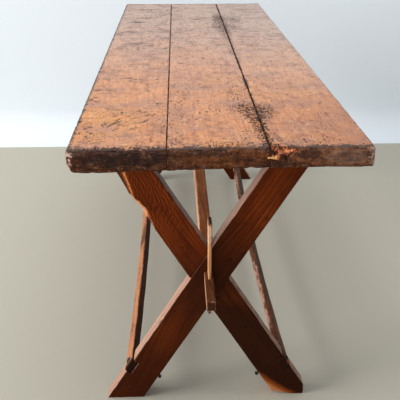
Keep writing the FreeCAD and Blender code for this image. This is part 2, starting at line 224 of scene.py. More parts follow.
# %% Shape of the sheet
FLOOR_HALF_WIDTH = 9.0
FLOOR_FRONT = -7.0
FLOOR_BACK = 1.30
COVE_RADIUS = 0.16
COVE_STEPS = 16
BACKDROP_HEIGHT = 5.0


def only(kind, items):
    return [item for item in items if isinstance(item, kind)]


sweep = bmesh.new()
ends = [sweep.verts.new((side * FLOOR_HALF_WIDTH, FLOOR_FRONT, 0)) for side in (-1, 1)]
edge = sweep.edges.new(ends)
made = bmesh.ops.extrude_edge_only(sweep, edges=[edge])["geom"]
corner = only(bmesh.types.BMVert, made)
bmesh.ops.translate(sweep, verts=corner, vec=(0, FLOOR_BACK - FLOOR_FRONT, 0))
edge = [item for item in only(bmesh.types.BMEdge, made) if set(item.verts) == set(corner)]
made = bmesh.ops.spin(sweep, geom=corner + edge, cent=(0, FLOOR_BACK, COVE_RADIUS), axis=(1, 0, 0),
                      angle=math.pi / 2, steps=COVE_STEPS, use_merge=False)["geom_last"]
made = bmesh.ops.extrude_edge_only(sweep, edges=only(bmesh.types.BMEdge, made))["geom"]
bmesh.ops.translate(sweep, verts=only(bmesh.types.BMVert, made), vec=(0, 0, BACKDROP_HEIGHT))
bmesh.ops.recalc_face_normals(sweep, faces=sweep.faces)
sweep.faces.ensure_lookup_table()
if sweep.faces[0].normal.z < 0:
    bmesh.ops.reverse_faces(sweep, faces=sweep.faces)
floor_mesh = bpy.data.meshes.new("floor")
sweep.to_mesh(floor_mesh)
sweep.free()
floor_mesh.polygons.foreach_set("use_smooth", [True] * len(floor_mesh.polygons))
for finish in SHEET_FINISHES:
    floor_mesh.materials.append(finish)
for face in floor_mesh.polygons:
    face.material_index = 1 if face.center.z > 0 else 0
floor = bpy.data.objects.new("floor", floor_mesh)
bpy.context.scene.collection.objects.link(floor)
print("floor sheet", len(floor_mesh.polygons), "faces")

# %% [markdown]
# ## Light
# A large soft lamp stands far to the left, and a second one hangs overhead. The end that faces the camera
# gets only a weak third lamp, for light that is thrown back, so the crossed legs stay in shade. A picture of
# a sky could light the table as well, but three lamps are easier to place. The world is white where the
# camera looks into it and dim where it lights the table.

# %% Light
def soft_lamp(name, place, aim, size, power):
    lamp = bpy.data.lights.new(name, "AREA")
    lamp.size = size
    lamp.energy = power
    made = bpy.data.objects.new(name, lamp)
    made.location = place
    made.rotation_euler = (Vector(aim) - Vector(place)).to_track_quat("-Z", "Y").to_euler()
    bpy.context.scene.collection.objects.link(made)
    print("lamp", name, power, "W")


soft_lamp("window", (-9.0, -2.4, 3.4), (0, -0.3, 0.4), 6.0, 1150)
soft_lamp("overhead", (0.3, -0.6, 3.6), (0, 0.0, 0.7), 3.0, 52)
soft_lamp("return", (-0.6, -4.6, 1.5), (0, -0.8, 0.4), 2.4, 26)

world = bpy.data.worlds.new("studio")
bpy.context.scene.world = world
world.use_nodes = True
air = world.node_tree
background = air.nodes["Background"]
background.inputs["Color"].default_value = tone(236, 242, 248)
seen = add_node(air, "LightPath").outputs["Is Camera Ray"]
feed(air, background.inputs["Strength"], calc(air, "MULTIPLY_ADD", seen, 0.7, 0.3))

# %% [markdown]
# ## What all the wood shares
# Wood has fibres, growth bands and cloudy patches, all drawn out along the grain. Pictures of wood could show
# them, but noise has no seams and follows every board. Here it is stretched along one axis, so one node group
# serves every piece: it wants a place whose Y runs with the grain.
# Three more groups are shared: short bruises across the grain, small round holes and specks, and a group
# that frays the border of a mask so that wear never ends in a straight line.

# %% Grain
def start_group(name, inputs, outputs):
    group = bpy.data.node_groups.new(name, "ShaderNodeTree")
    for label, kind in inputs.items():
        group.interface.new_socket(label, in_out="INPUT", socket_type="NodeSocket" + kind)
    for label in outputs:
        group.interface.new_socket(label, in_out="OUTPUT", socket_type="NodeSocketFloat")
    return group, group.nodes.new("NodeGroupInput").outputs, group.nodes.new("NodeGroupOutput").inputs


def use_group(tree, group, **sockets):
    made = add_node(tree, "Group", node_tree=group)
    for name, value in sockets.items():
        feed(tree, made.inputs[name], value)
    return made.outputs


grain, given, wanted = start_group("grain", {"Place": "Vector"}, ["Fibre", "Bands", "Patches"])
feed(grain, wanted["Fibre"], cloud(grain, given["Place"], (330, 12, 330), 4, 0.66))
drift = calc(grain, "MULTIPLY", cloud(grain, given["Place"], (5, 1.6, 5)), 0.16)
sideways = add_node(grain, "CombineXYZ", {"X": drift}).outputs[0]
bent = place_calc(grain, "ADD", given["Place"], sideways)
feed(grain, wanted["Bands"], cloud(grain, bent, (190, 2.6, 190), 4, 0.65))
feed(grain, wanted["Patches"], cloud(grain, given["Place"], (13, 6, 13), 4, 0.62))
print("group", grain.name, len(grain.nodes), "nodes")

# %% Bruises
bruises, given, wanted = start_group("bruises", {"Place": "Vector"}, ["Mask"])
waver = calc(bruises, "MULTIPLY", cloud(bruises, given["Place"], (14, 9, 14)), 0.05)
lengthwise = add_node(bruises, "CombineXYZ", {"Y": waver}).outputs[0]
skewed = place_calc(bruises, "ADD", given["Place"], lengthwise)
dashes = patchy(bruises, skewed, (17, 30, 17), 0.57, 0.62, 5, 0.8)
ticks = patchy(bruises, skewed, (70, 110, 70), 0.58, 0.64, 3, 0.65)
zones = patchy(bruises, given["Place"], (6, 8, 6), 0.38, 0.56, 3)
both = calc(bruises, "MAXIMUM", dashes, calc(bruises, "MULTIPLY", ticks, 0.7))
feed(bruises, wanted["Mask"], calc(bruises, "MULTIPLY", both, zones))
print("group", bruises.name, len(bruises.nodes), "nodes")

# %% Specks
SPECKS_PER_METRE = 125.0
SPECK_JITTER = 0.008

specks, given, wanted = start_group("specks", {"Place": "Vector", "Density": "Float"}, ["Mask"])
jitter = add_node(specks, "TexNoise", {"Vector": given["Place"], "Scale": 200.0, "Detail": 2.0})
squeezed = place_calc(specks, "MULTIPLY", given["Place"], (1.0, 0.5, 1.0))
moved = place_calc(specks, "MULTIPLY_ADD", jitter.outputs["Color"], (SPECK_JITTER,) * 3, squeezed)
cells = add_node(specks, "TexVoronoi", {"Vector": moved, "Scale": SPECKS_PER_METRE, "Randomness": 1.0})
chance = add_node(specks, "SeparateColor", {"Color": cells.outputs["Color"]}).outputs
present = calc(specks, "LESS_THAN", chance["Red"], given["Density"])
reach = calc(specks, "MULTIPLY_ADD", chance["Green"], 0.3, 0.09)
dot = ease(specks, calc(specks, "SUBTRACT", cells.outputs["Distance"], reach), 0.06, -0.06)
feed(specks, wanted["Mask"], calc(specks, "MULTIPLY", dot, present))
print("group", specks.name, len(specks.nodes), "nodes")

# %% Frayed borders
frayed, given, wanted = start_group(
    "frayed", {"Mask": "Float", "Place": "Vector", "Fray": "Float"}, ["Mask"])
rough = calc(frayed, "SUBTRACT", cloud(frayed, given["Place"], (140, 140, 140), 4, 0.65), 0.5)
ragged = calc(frayed, "MULTIPLY_ADD", rough, given["Fray"], given["Mask"])
feed(frayed, wanted["Mask"], ease(frayed, ragged, 0.38, 0.62))


def fray(tree, mask, place, amount):
    return use_group(tree, frayed, Mask=mask, Place=place, Fray=amount)["Mask"]


print("group", frayed.name, len(frayed.nodes), "nodes")

# %% [markdown]
# ## Starting and ending a material
# Every finish begins with the place on the object, which stays put when the table moves, and ends by feeding
# a colour, a roughness and a bump to the shader. Object coordinates need no unwrapping, and the pieces all
# sit at the origin, so a pattern lies in metres of the real table.

# %% Starting and ending a material
def start_material(name):
    made = bpy.data.materials.new(name)
    made.use_nodes = True
    tree = made.node_tree
    place = add_node(tree, "TexCoord").outputs["Object"]
    return made, tree, tree.nodes["Principled BSDF"].inputs, place


def dress(tree, shader, colour, roughness, height, depth):
    """Feeds colour, roughness and a bump of so many metres to the shader."""
    feed(tree, shader["Base Color"], colour)
    feed(tree, shader["Roughness"], roughness)
    bump = add_node(tree, "Bump", {"Height": height, "Strength": 1.0, "Distance": depth})
    feed(tree, shader["Normal"], bump.outputs["Normal"])


TOP_FACE = cad_box[1].z
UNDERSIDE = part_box("top_plank_middle")[0].z
print("planks", round(TOP_FACE - UNDERSIDE, 4), "m thick")

# %% [markdown]
# ## Sawn ends of the top
# End grain drinks in dirt, so the ends are far darker than the face: near black on the left plank, brown on
# the middle one and grey-brown on the right. A ramp across the table gives those tones, and noise adds
# mottles, streaks and crumbs. The mesh marks a planed patch and the blots that have places of their own. A
# second material would stop in a hard line at the arris, so a mask blends the ends into the face instead.

# %% Sawn ends of the top
END_TONES = [
    (0.02, tone(72, 36, 17)), (0.14, tone(50, 22, 9)), (0.32, tone(56, 25, 9)),
    (0.36, tone(80, 41, 16)), (0.5, tone(112, 61, 25)), (0.62, tone(101, 52, 20)),
    (0.66, tone(86, 44, 18)), (0.78, tone(124, 74, 47)), (0.97, tone(144, 102, 77)),
]


def sawn_ends(tree, place):
    spread = split(tree, place)
    share = calc(tree, "MULTIPLY_ADD", spread["X"], 1.6, 0.5)
    face = ramp(tree, share, END_TONES)
    low_band = ease(tree, spread["Z"], UNDERSIDE + 0.016, UNDERSIDE + 0.004)
    face = lay(tree, face, tone(72, 32, 10), low_band, 0.7)
    mottle = patchy(tree, place, (55, 55, 110), 0.44, 0.64, 4, 0.7)
    face = lay(tree, face, tone(34, 15, 6), mottle, 0.65)
    streaks = patchy(tree, place, (30, 30, 420), 0.5, 0.66, 4, 0.65)
    face = lay(tree, face, tone(158, 98, 58), streaks, 0.3)
    crumbs = cloud(tree, place, (150, 150, 170), 4, 0.7)
    face = lay(tree, face, tone(176, 118, 86), ease(tree, crumbs, 0.55, 0.68), 0.36)
    face = lay(tree, face, tone(26, 12, 11), ease(tree, crumbs, 0.45, 0.34), 0.65)
    around = calc(tree, "SUBTRACT", painted(tree, "planed"), 0.6)
    uneven = calc(tree, "MULTIPLY_ADD", cloud(tree, place, (45, 45, 70), 4, 0.65), 1.2, around)
    face = lay(tree, face, tone(150, 112, 88), ease(tree, uneven, 0.0, 0.3), 0.4)
    planed = mix(tree, mottle, tone(104, 74, 62), tone(72, 48, 40))
    face = lay(tree, face, planed, ease(tree, uneven, 0.2, 0.7), 0.8)
    blot = fray(tree, painted(tree, "blot"), place, 2.6)
    return lay(tree, face, tone(34, 19, 17), blot, 0.62)


print("tones across the sawn ends:", len(END_TONES))

# %% [markdown]
# ## Face of the top
# The top is an old softwood, orange where hands and cloths have rubbed it and pinkish brown between. A painted
# sheen makes it paler and greyer towards the far end, and painted shade darkens the near right. The finish is
# laid in the order in which the real one came about: first the wood with its painted sheen and shade, then
# bruises and knife marks, then the specks, holes and stain along the seams.

# %% Rubbed wood with painted sheen and shade
FACE_TONES = [(0.32, tone(190, 118, 71)), (0.5, tone(214, 144, 93)), (0.68, tone(220, 150, 99))]


def wood_with_sheen_and_shade(tree, spread, board, wood, distance, mottle):
    colour = ramp(tree, wood["Bands"], FACE_TONES)
    colour = lay(tree, colour, tone(222, 152, 78), painted(tree, "warm"), 0.6)
    haze = patchy(tree, board, (8, 9, 8), 0.42, 0.64, 5, 0.62)
    colour = lay(tree, colour, tone(182, 128, 102), haze, 0.8)
    # Painted sheen: the face turns paler and greyer towards the far end and on the right half, a painted
    # reflection of the bright backdrop.
    past_near_end = ease(tree, spread["Y"], -0.9, -0.3)
    right_share = calc(tree, "MULTIPLY", ease(tree, spread["X"], 0.0, 0.3), past_near_end)
    painted_sheen = calc(tree, "MULTIPLY_ADD", right_share, 0.14, calc(tree, "MULTIPLY", distance, 0.82))
    colour = mix(tree, painted_sheen, colour, tone(193, 169, 157))
    # Painted shade: the near right of the top is darkened, away from the lamp on the left.
    near_end = ease(tree, spread["Y"], -0.35, -0.95)
    shade = calc(tree, "MULTIPLY", ease(tree, spread["X"], 0.05, 0.28), near_end)
    colour = lay(tree, colour, tone(162, 104, 74), shade, 0.55)
    colour = lay(tree, colour, tone(138, 82, 57), mottle, 0.68)
    pale_flecks = patchy(tree, board, (64, 28, 64), 0.53, 0.68, 5, 0.72)
    colour = lay(tree, colour, tone(236, 188, 144), pale_flecks, 0.4)
    fibres = ramp(tree, wood["Fibre"], [(0.34, tone(150, 138, 130)), (0.56, tone(255, 255, 255))])
    return mix(tree, 0.25, colour, fibres, "MULTIPLY")


print("tones of the rubbed face:", len(FACE_TONES))

# %% Bruises and knife marks
KNIFE_TURN = math.radians(33)


def bruised_wood(tree, colour, spread, board, distance):
    """Adds smudges, bruises and knife marks, and tells where the last two have sunk in."""
    left_share = ease(tree, spread["X"], 0.02, -0.18)
    smudge = patchy(tree, board, (11, 12, 11), 0.53, 0.66, 5, 0.72)
    far_share = calc(tree, "MULTIPLY_ADD", distance, 0.3, 0.18)
    smudge_reach = calc(tree, "MULTIPLY_ADD", left_share, 0.3, far_share)
    colour = lay(tree, colour, tone(104, 74, 66), smudge, smudge_reach)
    far_share = calc(tree, "MULTIPLY_ADD", distance, 0.4, 0.3)
    bruise_reach = calc(tree, "MULTIPLY_ADD", left_share, 0.45, far_share)
    bruise = calc(tree, "MULTIPLY", use_group(tree, bruises, Place=board)["Mask"], bruise_reach)
    colour = mix(tree, bruise, colour, tone(66, 40, 34))
    turned = add_node(tree, "VectorRotate", {"Vector": board, "Angle": KNIFE_TURN}, rotation_type="Z_AXIS")
    slashes = patchy(tree, turned.outputs[0], (150, 24, 150), 0.575, 0.64)
    slashes = calc(tree, "MULTIPLY", slashes, painted(tree, "scored"))
    colour = lay(tree, colour, tone(88, 46, 28), slashes, 0.85)
    return colour, calc(tree, "ADD", bruise, slashes)


print("knife marks lie", round(math.degrees(KNIFE_TURN)), "degrees off the grain")

# %% Specks, holes and stain
FINER = 1.9


def stained_wood(tree, colour, place, board, stain, rim):
    """Adds specks and holes, which crowd at stains and rims, and soaks the stains; returns the holes too."""
    crowd = calc(tree, "MAXIMUM", stain, calc(tree, "MULTIPLY", rim, 0.8))
    cluster = patchy(tree, board, (9, 8, 9), 0.5, 0.68, 3)
    density = calc(tree, "MULTIPLY_ADD", crowd, 0.95, calc(tree, "MULTIPLY_ADD", cluster, 0.25, 0.02))
    holes = use_group(tree, specks, Place=board, Density=density)["Mask"]
    finer = place_calc(tree, "MULTIPLY", board, (FINER,) * 3)
    density = calc(tree, "MULTIPLY_ADD", crowd, 0.8, calc(tree, "MULTIPLY_ADD", cluster, 0.45, 0.15))
    pepper = use_group(tree, specks, Place=finer, Density=density)["Mask"]
    holes = calc(tree, "MAXIMUM", holes, calc(tree, "MULTIPLY", pepper, 0.8))
    colour = lay(tree, colour, tone(32, 18, 14), holes, 0.95)
    dotted = place_calc(tree, "MULTIPLY", place, (1.8, 0.9, 1.8))
    soaked = fray(tree, calc(tree, "MULTIPLY", stain, 0.54), dotted, 2.8)
    return lay(tree, colour, tone(26, 20, 22), soaked, 0.92), holes


print("specks per metre:", SPECKS_PER_METRE, "and", SPECKS_PER_METRE * FINER)

# %% [markdown]
# ## Sides and corners of the top
# The long sides are brown and the arrises black with grime. At the near end a corner broke off long ago, and
# the torn wood there is still orange. The two outer corners are pale, partly knocked pale and partly a painted
# highlight, and the gouges are dark. The mesh carries a mask for each of these, and most are frayed before
# they lay their colour over the last.

# %% Sides and corners of the top
FLANK_TONES = [(0.34, tone(84, 47, 27)), (0.52, tone(118, 70, 43)), (0.7, tone(146, 94, 62))]
TORN_TONES = [(0.42, tone(44, 23, 17)), (0.51, tone(130, 64, 34)),
              (0.58, tone(206, 118, 66)), (0.68, tone(206, 146, 104))]


def sides_and_corners(tree, colour, place, wood, mottle, rim, sawn):
    flank = ramp(tree, wood["Bands"], FLANK_TONES)
    flank = lay(tree, flank, tone(62, 36, 24), mottle, 0.6)
    colour = mix(tree, painted(tree, "flank"), colour, flank)
    colour = lay(tree, colour, tone(44, 24, 17), fray(tree, rim, place, 1.9), 0.92)
    colour = mix(tree, sawn, colour, sawn_ends(tree, place))
    torn = ramp(tree, cloud(tree, place, (120, 120, 90), 4, 0.7), TORN_TONES)
    colour = mix(tree, fray(tree, painted(tree, "fresh"), place, 1.3), colour, torn)
    # Painted highlight: the two outer corners at the near end are laid pale, partly as scuffs.
    scuffed_and_highlight = fray(tree, painted(tree, "scuffed_and_highlight"), place, 1.7)
    colour = lay(tree, colour, tone(206, 172, 156), scuffed_and_highlight, 0.75)
    return lay(tree, colour, tone(46, 26, 20), painted(tree, "gouge"), 0.9)


print("tones of the sides:", len(FLANK_TONES), "and of torn wood:", len(TORN_TONES))

# %% Finish of the top
PLANK_SHIFT = 3.7
TOP_BUMP = 0.001


def top_wood():
    """The whole finish of the top; each plank reads the grain at a place of its own."""
    made, tree, shader, place = start_material("worn_top_wood")
    shift = calc(tree, "MULTIPLY", painted(tree, "plank"), PLANK_SHIFT)
    board = place_calc(tree, "ADD", place, add_node(tree, "CombineXYZ", {"Y": shift}).outputs[0])
    spread = split(tree, place)
    wood = use_group(tree, grain, Place=board)
    distance = ease(tree, spread["Y"], -0.95, 0.68)
    mottle = patchy(tree, board, (44, 26, 44), 0.5, 0.68, 5, 0.72)
    stain, rim, sawn = (painted(tree, name) for name in ("stain", "rim", "sawn"))
    colour = wood_with_sheen_and_shade(tree, spread, board, wood, distance, mottle)
    colour, marks = bruised_wood(tree, colour, spread, board, distance)
    colour, holes = stained_wood(tree, colour, place, board, stain, rim)
    colour = sides_and_corners(tree, colour, place, wood, mottle, rim, sawn)
    dull = calc(tree, "MULTIPLY", calc(tree, "MAXIMUM", sawn, stain), 0.75)
    roughness = calc(tree, "MAXIMUM", calc(tree, "MULTIPLY_ADD", wood["Patches"], 0.3, 0.3), dull)
    ripples = cloud(tree, board, (55, 17, 55), 3, 0.6)
    raised = calc(tree, "MULTIPLY_ADD", ripples, 1.5, calc(tree, "MULTIPLY", wood["Fibre"], 0.35))
    dips = calc(tree, "ADD", calc(tree, "MULTIPLY", marks, 0.5), holes)
    shader["Specular IOR Level"].default_value = 0.2
    dress(tree, shader, colour, roughness, calc(tree, "SUBTRACT", raised, dips), TOP_BUMP)
    return made


TOP_WOOD = top_wood()
print(TOP_WOOD.name, len(TOP_WOOD.node_tree.nodes), "nodes")

# %% [markdown]
# ## Finish of the trestles
# The legs, rails and stretcher are stained a dark red-brown under wax, with a wavy figure in the boards.
# The grain follows each board, so the place that feeds the grain group is measured along and across it.
# The figure is a sine across the board, bent by noise, which looks like growth rings cut at a slant. The
# Wave texture could draw it too, but a sine is slanted and bent in plain steps.

# %% Grain and figure of a board
RING_RATE = 700


def along_board(tree, place, axes):
    """The place measured on a board's own three directions, with the grain second."""
    parts = [operate(tree, "VectorMath", "DOT_PRODUCT", (place, axis))["Value"] for axis in axes]
    return add_node(tree, "CombineXYZ", dict(zip("XYZ", parts))).outputs[0]


def wavy_figure(tree, board, slant):
    spread = split(tree, board)
    sway = calc(tree, "MULTIPLY_ADD", cloud(tree, board, (11, 8, 11), 3), 0.11, spread["X"])
    sway = calc(tree, "MULTIPLY_ADD", spread["Y"], slant, sway)
    wave = calc(tree, "SINE", calc(tree, "MULTIPLY", sway, RING_RATE))
    rings = calc(tree, "POWER", calc(tree, "MULTIPLY_ADD", wave, 0.5, 0.5), 1.6)
    figured = painted(tree, "figured")
    zones = calc(tree, "MAXIMUM", patchy(tree, board, (7, 3, 7), 0.4, 0.6), figured)
    strength = calc(tree, "MULTIPLY_ADD", figured, 0.6, 0.2)
    return calc(tree, "MULTIPLY", calc(tree, "MULTIPLY", rings, zones), strength)


print("rings", round(2000 * math.pi / RING_RATE, 1), "mm apart")

# %% [markdown]
# ## Wear, painted shade and painted highlight on a stained board
# Hands and boots darken the stain in some places and take it away in others. The grime mask also carries
# painted shade, on sides turned from the lamp and round the crossing of the legs; it comes first and keeps the
# rubbing off. Rubbed faces and arrises are paler, partly from wear and partly as a painted highlight on sides
# that face the lamp on the left, and where bark or a boot has taken the finish away, bare orange wood shows.
# The masks of rubbing are frayed along the grain, so that wear runs out in streaks.

# %% Wear, painted shade and painted highlight on a stained board
# The darkest colour serves both real grime and painted shade.
GRIME_AND_SHADE = tone(38, 16, 7)
BARE = tone(150, 70, 24)


def wear_shade_and_highlight(tree, colour, wood, streaky, middle, worn):
    # This mask holds real grime and painted shade alike.
    grime_and_shade = painted(tree, "grime_and_shade")
    colour = lay(tree, colour, GRIME_AND_SHADE, grime_and_shade, 0.85)
    clean = calc(tree, "SUBTRACT", 1.0, grime_and_shade)
    # This mask holds real wear and a painted highlight on sides that face the lamp.
    wear_and_highlight = fray(tree, calc(tree, "MULTIPLY", painted(tree, "wear_and_highlight"), clean), streaky, 1.0)
    colour = lay(tree, colour, mix(tree, wood["Bands"], worn, middle), wear_and_highlight, 0.8)
    half_clean = calc(tree, "MULTIPLY_ADD", grime_and_shade, -0.3, 0.55)
    exposed = calc(tree, "MULTIPLY", painted(tree, "edge"), half_clean)
    colour = lay(tree, colour, worn, fray(tree, exposed, streaky, 1.3), 0.6)
    uneven = calc(tree, "SUBTRACT", wood["Patches"], 0.5)
    bare = calc(tree, "MULTIPLY_ADD", uneven, 0.7, painted(tree, "bare"))
    colour = lay(tree, colour, BARE, ease(tree, bare, 0.1, 0.6), 0.8)
    pale = mix(tree, wood["Fibre"], tone(196, 112, 56), tone(236, 176, 126))
    return lay(tree, colour, pale, ease(tree, bare, 0.5, 1.1), 0.85)


print("bare wood as light:", [round(level, 3) for level in BARE[:3]])

# %% Finish of one board
BOARD_BUMP = 0.0004


def trestle_wood(name, axes, tones, slant=0.0, gloss=0.06):
    """Stained wood with its grain along the second axis; tones are dark, middle, light and worn."""
    dark, middle, light, worn = tones
    made, tree, shader, place = start_material(name)
    board = along_board(tree, place, axes)
    streaky = place_calc(tree, "MULTIPLY", board, (1.0, 0.3, 1.0))
    wood = use_group(tree, grain, Place=board)
    colour = ramp(tree, wood["Bands"], [(0.28, dark), (0.5, middle), (0.72, light)])
    colour = lay(tree, colour, dark, ease(tree, wood["Patches"], 0.6, 0.42), 0.6)
    colour = mix(tree, wavy_figure(tree, board, slant), colour, dark)
    fibres = ramp(tree, wood["Fibre"], [(0.3, tone(130, 120, 115)), (0.6, tone(255, 255, 255))])
    colour = mix(tree, 0.3, colour, fibres, "MULTIPLY")
    # Painted shade: every board is darkened towards the floor, where less light reaches it.
    height_share = ease(tree, split(tree, place)["Z"], 0.0, 0.5)
    painted_floor_shade = calc(tree, "MULTIPLY_ADD", height_share, -0.75, 0.75)
    colour = mix(tree, painted_floor_shade, colour, tone(48, 19, 6))
    colour = wear_shade_and_highlight(tree, colour, wood, streaky, middle, worn)
    holes = use_group(tree, specks, Place=board, Density=0.02)["Mask"]
    colour = lay(tree, colour, tone(24, 12, 8), holes, 0.8)
    sawn = painted(tree, "sawn")
    colour = lay(tree, colour, tone(36, 21, 15), sawn, 0.85)
    waxed = calc(tree, "MULTIPLY_ADD", wood["Patches"], 0.25, 0.34)
    roughness = calc(tree, "MAXIMUM", waxed, calc(tree, "MULTIPLY", sawn, 0.6))
    shader["Specular IOR Level"].default_value = gloss
    dress(tree, shader, colour, roughness, calc(tree, "SUBTRACT", wood["Fibre"], holes), BOARD_BUMP)
    return made


print("bump of a board:", BOARD_BUMP * 1000, "mm")

# %% [markdown]
# ## One finish for each way the grain runs
# A leg leans to one side or the other, the rails and the stretcher lie along the table, a cleat lies across
# it and a key stands upright. Each gets the same finish with its own axes. The rails and the stretcher were
# never stained as dark as the legs, and the keys were not stained at all.

# %% Stained wood for each piece
LEAN = math.radians(32.2)
ACROSS, LENGTHWISE, UP = (Vector(axis) for axis in ((1, 0, 0), (0, 1, 0), (0, 0, 1)))
LONG_AXES = (ACROSS, LENGTHWISE, UP)
CLEAT_AXES = (LENGTHWISE, ACROSS, UP)
KEY_AXES = (ACROSS, UP, LENGTHWISE)
STAINED = (tone(78, 29, 7), tone(122, 51, 13), tone(148, 68, 20), tone(222, 188, 164))
LONG_TONES = {
    "left_rail": (tone(104, 54, 26), tone(146, 86, 50), tone(182, 118, 78), tone(206, 146, 108)),
    "right_rail": (tone(104, 58, 36), tone(146, 92, 62), tone(176, 122, 92), tone(200, 170, 156)),
    "stretcher": (tone(118, 64, 33), tone(166, 102, 63), tone(202, 138, 97), tone(224, 190, 162)),
}
KEY_TONES = (tone(206, 134, 80), tone(246, 190, 136), tone(252, 212, 168), tone(204, 176, 166))


def leg_axes(climb):
    """Across, along and through a leg that climbs to the right (1) or the left (-1)."""
    along = Vector((climb * math.sin(LEAN), 0, math.cos(LEAN)))
    across = Vector((math.cos(LEAN), 0, -climb * math.sin(LEAN)))
    return across, along, LENGTHWISE


LEG_WOOD = {climb: trestle_wood("stained_leg_wood_" + side, leg_axes(climb), STAINED, slant)
            for side, climb, slant in (("left", -1, -0.42), ("right", 1, 0.0))}
LONG_WOOD = {node: trestle_wood("stained_" + node + "_wood", LONG_AXES, tones, gloss=0.03)
             for node, tones in LONG_TONES.items()}
CLEAT_WOOD = trestle_wood("stained_cleat_wood", CLEAT_AXES, STAINED)
KEY_WOOD = trestle_wood("rubbed_key_wood", KEY_AXES, KEY_TONES)
print("trestle finishes:", [finish.name for finish in (*LEG_WOOD.values(), *LONG_WOOD.values())])

# %% [markdown]
# ## Forged iron
# The nails and spikes were forged by hand and have rusted a little. Fine noise serves twice, as the scale
# that the hammer left and as the roughness, and coarser noise turns some of the black brown.

# %% Forged iron
def forged_iron():
    made, tree, shader, place = start_material("forged_iron")
    scale = cloud(tree, place, (400, 400, 400), 4, 0.6)
    rust = patchy(tree, place, (130, 130, 130), 0.5, 0.7, 3)
    colour = lay(tree, tone(38, 34, 33), tone(74, 46, 34), rust, 0.6)
    shader["Metallic"].default_value = 0.7
    dress(tree, shader, colour, calc(tree, "MULTIPLY_ADD", scale, 0.3, 0.35), scale, 0.0008)
    return made


IRON = forged_iron()
print(IRON.name, len(IRON.node_tree.nodes), "nodes")

# %% [markdown]
# ## From a CAD piece to a worn one
# A CAD node is made of loose triangles with dead straight arrises. A copy of it is merged, its flat faces are
# dissolved into large ones, its arrises are rounded with a bevel, and it is then sliced into small cells by
# parallel planes, which leaves enough points for wear. Slicing keeps the shape exactly as it was, while a
# Remesh modifier would blur the corners at the joints.

# %% Merge, round and slice
def merged_copy(node):
    shape = bmesh.new()
    shape.from_mesh(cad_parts[node].data)
    bmesh.ops.remove_doubles(shape, verts=shape.verts, dist=1e-5)
    bmesh.ops.dissolve_limit(shape, angle_limit=math.radians(0.3), verts=shape.verts, edges=shape.edges)
    return shape


def round_arrises(shape, width):
    arrises = [edge for edge in shape.edges if edge.is_manifold and edge.is_convex
               and edge.calc_face_angle() > math.radians(30) and edge.calc_length() > 5 * width]
    bmesh.ops.bevel(shape, geom=arrises, offset=width, offset_type="OFFSET", segments=2, profile=0.5,
                    affect="EDGES", material=-1)


def slice_up(shape, direction, places, part=None):
    """Cuts the mesh at each place along a direction: at the middle one first, then each half by itself."""
    if not places:
        return
    middle = len(places) // 2
    place = places[middle]
    cut = bmesh.ops.bisect_plane(shape, geom=part or shape.edges[:] + shape.faces[:], dist=1e-6,
                                 plane_co=direction * place, plane_no=direction)["geom"]
    halves = ([], [])
    for edge in only(bmesh.types.BMEdge, cut):
        start, end = edge.verts
        halves[(start.co + end.co).dot(direction) > 2 * place].append(edge)
    for face in only(bmesh.types.BMFace, cut):
        halves[face.calc_center_median().dot(direction) > place].append(face)
    slice_up(shape, direction, places[:middle], halves[0])
    slice_up(shape, direction, places[middle + 1:], halves[1])


def even_places(shape, direction, spacing):
    reaches = [vert.co.dot(direction) for vert in shape.verts]
    low, high = min(reaches), max(reaches)
    count = int((high - low) / spacing)
    return [low + (high - low) * (step + 1) / (count + 1) for step in range(count)]


sample = merged_copy("stretcher")
triangles = len(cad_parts["stretcher"].data.polygons)
print("stretcher:", triangles, "triangles merge into", len(sample.faces), "faces")
sample.free()

# %% [markdown]
# ## Wearing and marking a piece
# Wear only ever takes wood away, so each point moves inwards: a little on the flats, more on the arrises.
# Masks for the finish are painted on the points, and the finished shape becomes an object that rides on a
# body of the table. A worn copy stands for its CAD node and is shaded smooth. A Displace modifier could dent
# a piece too, but here the wear and the masks share what they measure.

# %% Wear, masks and the finished piece
def bounded(value):
    """A value held between 0 and 1."""
    return min(1.0, max(0.0, value))


def weather(shape, axes, dent, nick, seed):
    """Wears every point inwards and keeps in the edge layer how far it stands out on an arris."""
    shape.normal_update()
    exposed = shape.verts.layers.float.new("edge")
    drift = Vector((seed * 3.7, seed * 1.3, seed * 7.1))
    for vert in shape.verts:
        flat = max(abs(vert.normal.dot(axis)) for axis in axes)
        vert[exposed] = min(1.0, (1 - flat) * 4)
        hollow = 0.5 + 0.5 * noise.noise(vert.co * 14 + drift)
        chip = max(0.0, noise.noise(vert.co * 45 + drift) - 0.05)
        chip += 0.5 * max(0.0, noise.noise(vert.co * 130 + drift))
        vert.co -= vert.normal * (dent * hollow + nick * chip * vert[exposed])


def paint(shape, name, amount):
    """Adds a mask to the mesh: amount(point, normal) from 0 to 1."""
    layer = shape.verts.layers.float.new(name)
    shape.normal_update()
    for vert in shape.verts:
        vert[layer] = bounded(amount(vert.co, vert.normal))


def finish_piece(shape, name, body, material, node=None):
    mesh = bpy.data.meshes.new(name)
    shape.to_mesh(mesh)
    shape.free()
    mesh.materials.append(material)
    piece = bpy.data.objects.new(name, mesh)
    bpy.context.scene.collection.objects.link(piece)
    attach(piece, body)
    if node:
        mesh.polygons.foreach_set("use_smooth", [True] * len(mesh.polygons))
        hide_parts(node)
    print(name, len(mesh.polygons), "faces")


print("a mask of 1.4 is held at", bounded(1.4))

# %% [markdown]
# ## Scars in the top
# Gouges, cracks and knife cuts are short lines in space. A bump would vanish when it is seen from the side,
# so they are cut into the mesh: the cells round each one are divided again, and the points near it sink to
# form a groove. A groove never lifts a point, so the top stays as high as it was.
# Each scar has two ends in millimetres, with a third number, the height, for an end below the surface. Then
# come the half width and the depth of its groove.

